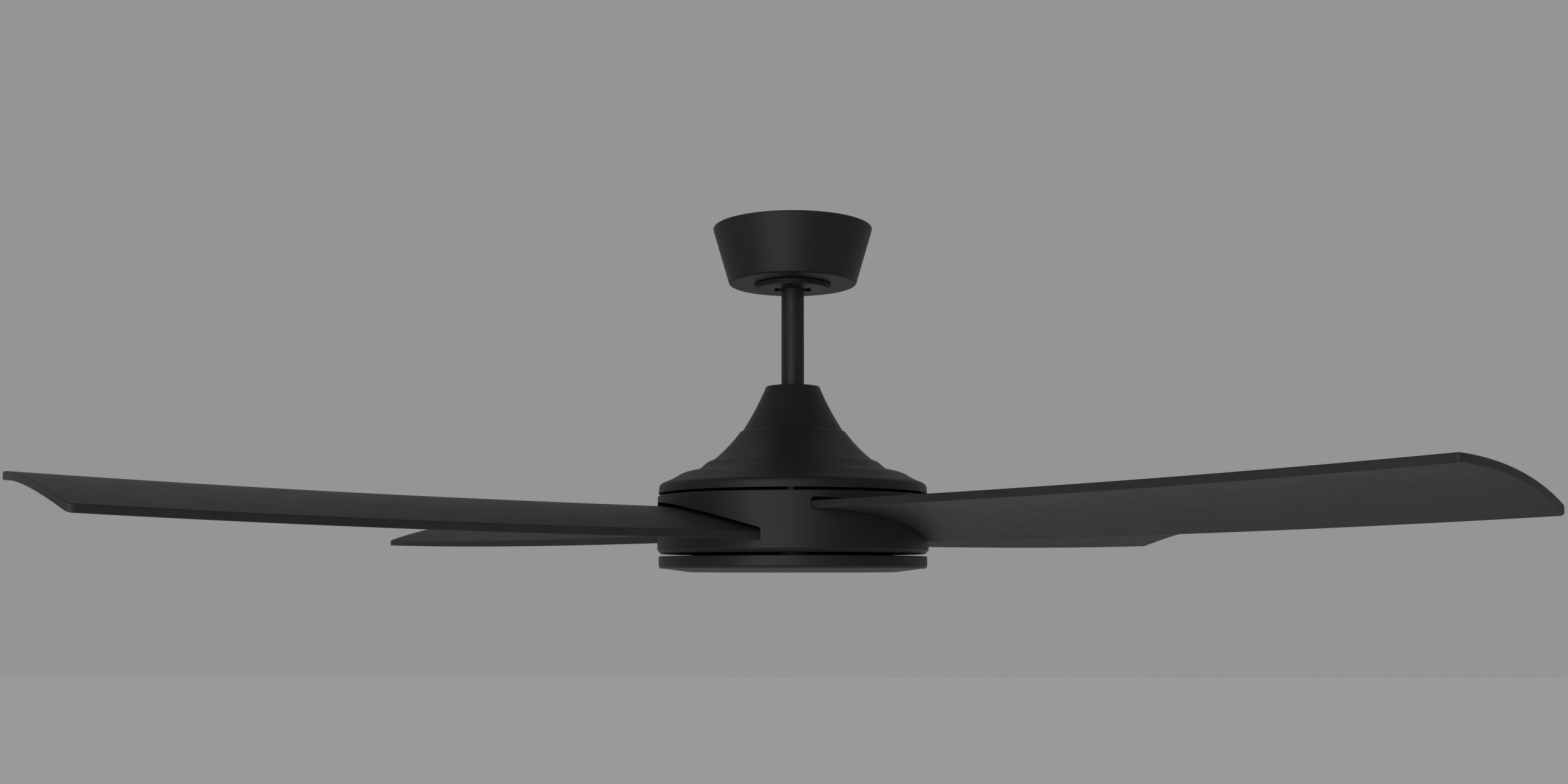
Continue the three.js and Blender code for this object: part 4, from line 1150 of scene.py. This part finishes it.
@dataclass
class BladeRule:
    """The rule that every blade, its slot and its iron follow. Along the blade is u, across it is w."""

    first_angle: float = -47.8
    count: int = 4
    root: float = 68.0
    neck: float = 98.0
    wall: float = 103.0  # where the long edges pass through the drum's wall
    root_half_width: float = 30.0
    tip_radius: float = 661.0
    leading_corner: float = 2.0
    trailing_corner: float = 5.0
    leading: float = 71.5
    leading_flare: float = 5.5
    trailing: float = 71.6
    trailing_taper: float = 2.0
    leading_top: float = -264.6
    trailing_bottom: float = -297.7
    camber: float = 5.5
    root_thickness: float = 7.0
    tip_thickness: float = 6.0
    rise: float = 6.8
    rise_power: float = 2.6

    @property
    def angles(self) -> list[float]:
        """Directions of the blades in degrees."""
        return [self.first_angle + 360 * i / self.count for i in range(self.count)]

    @property
    def pitch(self) -> float:
        """Angle at which the blades are set, in radians."""
        fall = self.leading_top - self.root_thickness - self.trailing_bottom
        return math.atan2(fall, self.leading + self.trailing)

    def along(self, u: float) -> float:
        """Share of the way from the drum's wall to the tip."""
        return max(0.0, (u - self.wall) / (self.tip_radius - self.wall))

    def thickness(self, u: float) -> float:
        """Thickness of the blade at a distance from the axis."""
        return self.root_thickness + (self.tip_thickness - self.root_thickness) * self.along(u)

    def edges(self, u: float) -> tuple[float, float]:
        """Distances of the leading and trailing edges from the centre line."""
        share = (min(u, self.neck) - self.root) / (self.neck - self.root)
        lead = self.root_half_width + (self.leading - self.root_half_width) * share
        trail = self.root_half_width + (self.trailing - self.root_half_width) * share
        return lead + self.leading_flare * self.along(u), trail - self.trailing_taper * self.along(u)

    def underside(self, u: float, w: float) -> float:
        """Height of the blade's underside: a pitched plane with a crown, which curves up towards the tip."""
        lead, trail = (self.leading, self.trailing) if u < self.neck else self.edges(u)
        across = (w + trail) / (lead + trail)
        top = self.leading_top - self.thickness(u)
        crown = 4 * self.camber * across * (1 - across)
        rise = self.rise * self.along(u) ** self.rise_power
        return self.trailing_bottom + (top - self.trailing_bottom) * across + crown + rise

    def tip(self, across: float) -> float:
        """Distance of the tip from the axis, at a share of the way from the trailing to the leading edge."""
        width = self.leading + self.leading_flare + self.trailing - self.trailing_taper
        from_trailing = across * width
        back = fillet_drop(from_trailing, self.trailing_corner)
        back += fillet_drop(width - from_trailing, self.leading_corner)
        aside = from_trailing - self.trailing + self.trailing_taper
        return math.sqrt(self.tip_radius**2 - aside**2) - back


def fillet_drop(distance: float, radius: float) -> float:
    """How far a rounded corner stands back at a distance from the edge."""
    return radius - math.sqrt(radius**2 - max(0.0, radius - distance) ** 2)


@dataclass
class Rotor:
    """Drum, blades, irons and bolts."""

    rule: BladeRule = field(default_factory=BladeRule)
    body: str = "rotor"
    wall: float = 2.5
    plate: float = 1.5  # thickness of the drum's top and lip
    chamfer_in: float = 3.0
    chamfer_up: float = 3.4
    lip: float = 119.0
    disc_hole: float = 50.0
    slot_half_width: float = 72.2
    slot_below: float = -0.45
    slot_above: float = 3.4
    slot_corner: float = 2.5
    slot_reach: tuple[float, float] = (80.0, 150.0)  # distances from the axis between which a slot is cut
    edge: float = 1.1  # radius along the blades' edges
    iron_drop: float = 1.2
    iron_thickness: float = 4.0
    bolts: tuple[float, ...] = (82.0, 104.0)  # their distances from the axis
    bolt_hole: float = 2.7
    bolt: Screw = Screw(4.5, 3, 2.4, 10.5, pitch=1.0)

    def slot_tool(self) -> Piece:
        """Makes the block that opens the drum's wall for the blade that lies along +X."""
        rule = self.rule
        half = self.slot_half_width
        across = np.linspace(-half, half, 17)
        low = [(-w, rule.underside(rule.wall, w) + self.slot_below) for w in across]
        high = [(-w, rule.underside(rule.wall, w) + rule.root_thickness + self.slot_above)
                for w in across[::-1]]
        low[0], low[-1] = (*low[0], self.slot_corner / 2), (*low[-1], self.slot_corner / 2)
        high[0], high[-1] = (*high[0], self.slot_corner), (*high[-1], self.slot_corner)
        tool = prism("slot", [*low, *high], *self.slot_reach)
        # the outline's x becomes y and its y becomes z, and the prism's height runs outwards along x
        outwards = Matrix(((0, 0, 1, 0), (1, 0, 0, 0), (0, 1, 0, 0), (0, 0, 0, 1)))
        return placed(tool, outwards)

    def drum(self) -> None:
        """Makes the drum with a slot for each blade."""
        low, high = span("drum")
        outer = reach("drum")
        inner = outer - self.wall
        disc = high - self.plate
        outline = [(self.disc_hole, high, 0.4), (self.disc_hole, disc, 0.4), (inner, disc, 0.8),
                   (inner, low + self.chamfer_up), (inner - 2, low + self.plate, 0.5),
                   (self.lip, low + self.plate), (self.lip, low, 0.4), (outer - self.chamfer_in, low, 0.5),
                   (outer, low + self.chamfer_up, 0.8), (outer, high, 1.0)]
        slots = [placed(self.slot_tool(), about_axis(angle)) for angle in self.rule.angles]
        holes = drills(SCREW_HOLE, disc - 2, high + 2, Motor.screw_circle)
        piece = carved(turned("drum_shell", outline, 240), [*slots, *holes])
        dressed(shaded(piece, ease=0.35), BLACK_PAINT, self.body, "black_paint", "drum")

    def surface_point(self, u: float, across: float, tip: float, top: bool) -> tuple[float, float, float]:
        """Gives a point on a blade's top or underside, with its edges rounded.

        Args:
            u: distance from the axis.
            across: share of the way from the trailing to the leading edge.
            tip: distance of the tip from the axis on this line.
            top: whether the point is on the top.

        Returns:
            The point, on the blade that lies along +X.
        """
        lead, trail = self.rule.edges(u)
        w = -trail + across * (lead + trail)
        from_edge = min(across * (lead + trail), (1 - across) * (lead + trail), tip - u)
        drop = fillet_drop(from_edge, self.edge)
        under = self.rule.underside(u, w)
        return u, -w, under + self.rule.thickness(u) - drop if top else under + drop

    def blade(self) -> Piece:
        """Makes the blade that lies along +X, as two surfaces joined by a band round the edge."""
        rule = self.rule
        width = rule.leading + rule.trailing
        eased = [self.edge * share for share in (0.0, 0.04, 0.15, 0.36, 0.66, 1.0)]
        corner = [rule.trailing_corner * share for share in (0.4, 0.65, 1.0)]
        near = [*eased, *corner]
        stations = [x / width for x in near]
        stations += list(np.linspace(0.06, 0.94, 23)) + [1 - x / width for x in near[::-1]]
        lengths = [*np.linspace(0, 0.985, 60), *(1 - x / (rule.tip_radius - rule.root) for x in eased[::-1])]
        rows, columns = len(lengths), len(stations)
        vertices = []
        for top in (True, False):
            for share in lengths:
                for across in stations:
                    tip = rule.tip(across)
                    u = rule.root + (tip - rule.root) * share
                    vertices.append(self.surface_point(u, across, tip, top))
        faces = []
        below = rows * columns
        for i in range(rows - 1):
            for j in range(columns - 1):
                a, b = i * columns + j, (i + 1) * columns + j
                faces.append((a, b, b + 1, a + 1))
                faces.append((below + a, below + a + 1, below + b + 1, below + b))
        rim = [i * columns for i in range(rows)] + [(rows - 1) * columns + j for j in range(1, columns)]
        rim += [i * columns + columns - 1 for i in range(rows - 2, -1, -1)] + list(range(columns - 2, 0, -1))
        for a, b in pairwise([*rim, rim[0]]):
            faces.append((b, a, below + a, below + b))
        return solid("blade", vertices, faces)

    def blades(self) -> None:
        """Makes the four blades with the holes for their bolts."""
        rule = self.rule
        seat = self.iron_top
        tilt = Matrix.Rotation(-rule.pitch, 4, "X")
        holes = [drill(self.bolt_hole, -6, 16, shift(u, 0, seat) @ tilt) for u in self.bolts]
        blank = shaded(carved(self.blade(), holes), angle=40)
        for i, angle in enumerate(rule.angles, 1):
            piece = placed(linked(f"blade_{i}_moulding", blank.data.copy()), about_axis(angle))
            dressed(piece, BLADE_ABS, self.body, "blade_black", f"blade_{i}")
        bpy.data.objects.remove(blank)

    @property
    def iron_top(self) -> float:
        """Height of the irons' pads at the centre line, in millimetres."""
        return self.rule.underside(80, 0) - self.iron_drop

    def irons(self, circle: Circle) -> None:
        """Makes the cast irons and the bolts that hold the blades to them."""
        for i in range(1, self.rule.count + 1):
            piece = shaded(copied(f"blade_iron_{i}", f"blade_iron_{i}_cast"), 0.5)
            dressed(piece, CAST_ALUMINIUM, self.body, "cast_aluminium", f"blade_iron_{i}")
        seat = shift(0, 0, -(self.iron_thickness + GAP))
        for j, radius in enumerate(self.bolts, 1):
            bolt = placed(self.bolt.part("bolt"), seat)
            piece = circle.round_axis(f"blade_bolts_{j}", ZINC_STEEL, bolt, self.rule.count, radius,
                                      self.iron_top, turn=self.rule.first_angle,
                                      tilt=-math.degrees(self.rule.pitch))
            nodes = [f"blade_bolt_{i}_{j}" for i in range(1, self.rule.count + 1)]
            dressed(piece, ZINC_STEEL, self.body, "zinc_steel", *nodes)

    def build(self, circle: Circle) -> None:
        """Builds the whole sub-assembly."""
        self.drum()
        self.blades()
        self.irons(circle)


# ---- studio ----


@dataclass
class Studio:
    """Floor, lights and camera. Distances are in metres here."""

    distance: float = 1.404  # of the camera from the fan's axis
    eye_level: float = -0.330
    pitch: float = 7.04  # degrees that the camera looks up
    yaw: float = 0.336  # degrees that it looks past the axis, to its left
    lens: float = 34.54
    sensor: float = 36.0
    floor_level: float = -4.3
    floor_half: float = 60.0
    world: float = 0.3  # brightness all round and below
    zenith: float = 0.1  # brightness overhead
    fade: tuple[float, float] = (0.4, 0.8)  # sines of the elevations between which it darkens
    overhead: float = 0.8  # strength of the light on the floor
    lamps: tuple[tuple[str, tuple[float, float, float], float, float], ...] = (
        ("key", (-1.4, -3.4, -0.2), 3.4, 66.0),
        ("back_left", (-1.6, 1.9, 3.4), 2.4, 9.0),
        ("back_right", (1.8, 1.9, 3.4), 2.4, 7.0),
    )  # name, place, side of the square and watts

    def camera(self) -> None:
        """Places the camera a little below the fan, close in front of it."""
        data = bpy.data.cameras.new("camera")
        data.sensor_width = self.sensor
        data.lens = self.lens
        camera = linked("camera", data)
        up, left = math.radians(self.pitch), math.radians(self.yaw)
        aim = Vector((-math.sin(left) * math.cos(up), math.cos(left) * math.cos(up), math.sin(up)))
        camera.location = (0, -self.distance, self.eye_level)
        camera.rotation_euler = aim.to_track_quat("-Z", "Y").to_euler()
        bpy.context.scene.camera = camera

    def lights(self) -> None:
        """Hangs large soft lamps that all face the fan."""
        target = Vector((0, 0, -0.2))
        for name, place, side, watts in self.lamps:
            data = bpy.data.lights.new(name, "AREA")
            data.size = side
            data.energy = watts
            lamp = linked(name, data)
            lamp.location = place
            lamp.rotation_euler = (target - Vector(place)).to_track_quat("-Z", "Y").to_euler()

    def surroundings(self) -> None:
        """Lights the fan evenly from below and all round, and less from above."""
        world = bpy.data.worlds.new("studio")
        world.use_nodes = True
        tree = world.node_tree
        direction = add_node(tree, "ShaderNodeTexCoord").outputs["Generated"]
        rise = add_node(tree, "ShaderNodeSeparateXYZ", {0: direction}).outputs["Z"]
        fall = {"Value": rise, "From Min": self.fade[0], "From Max": self.fade[1], "To Min": self.world,
                "To Max": self.zenith}
        level = add_node(tree, "ShaderNodeMapRange", fall, interpolation_type="SMOOTHSTEP").outputs["Result"]
        tree.links.new(level, tree.nodes["Background"].inputs["Strength"])
        tree.nodes["Background"].inputs["Color"].default_value = (1, 1, 1, 1)
        bpy.context.scene.world = world
        bpy.context.scene.view_settings.view_transform = "Standard"

    def floor(self) -> None:
        """Lays the plain pale floor, with a light from straight above that reaches the floor alone."""
        half = self.floor_half
        mesh = bpy.data.meshes.new("studio_floor")
        corners = [(-half, -half), (half, -half), (half, half), (-half, half)]
        mesh.from_pydata([(x, y, self.floor_level) for x, y in corners], [], [(0, 1, 2, 3)])
        floor = linked("studio_floor", mesh)
        paint = bpy.data.materials.new("pale_floor_paint")
        paint.use_nodes = True
        shader = paint.node_tree.nodes["Principled BSDF"]
        shader.inputs["Base Color"].default_value = linear("#e2e2e0")
        shader.inputs["Roughness"].default_value = 0.9
        mesh.materials.append(paint)
        lit = bpy.data.collections.new("lit_from_above")
        lit.objects.link(floor)
        data = bpy.data.lights.new("overhead", "SUN")
        data.energy = self.overhead
        lamp = linked("overhead", data)
        lamp.light_linking.receiver_collection = lit

    def build(self) -> None:
        """Builds the whole studio."""
        self.camera()
        self.lights()
        self.surroundings()
        self.floor()


def main() -> None:
    """Builds the studio, then the fan from the ceiling down."""
    logging.basicConfig(level=logging.INFO, format="%(name)s: %(message)s")
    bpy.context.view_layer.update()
    Studio().build()
    circle, stack, coil = Circle(), Stack(), Coil()
    CeilingSide().build(circle)
    Suspension().build()
    ConeCover().build(circle)
    Motor().build(circle, stack, coil)
    Light().build(circle)
    Rotor().build(circle)


if __name__ == "__main__":
    main()
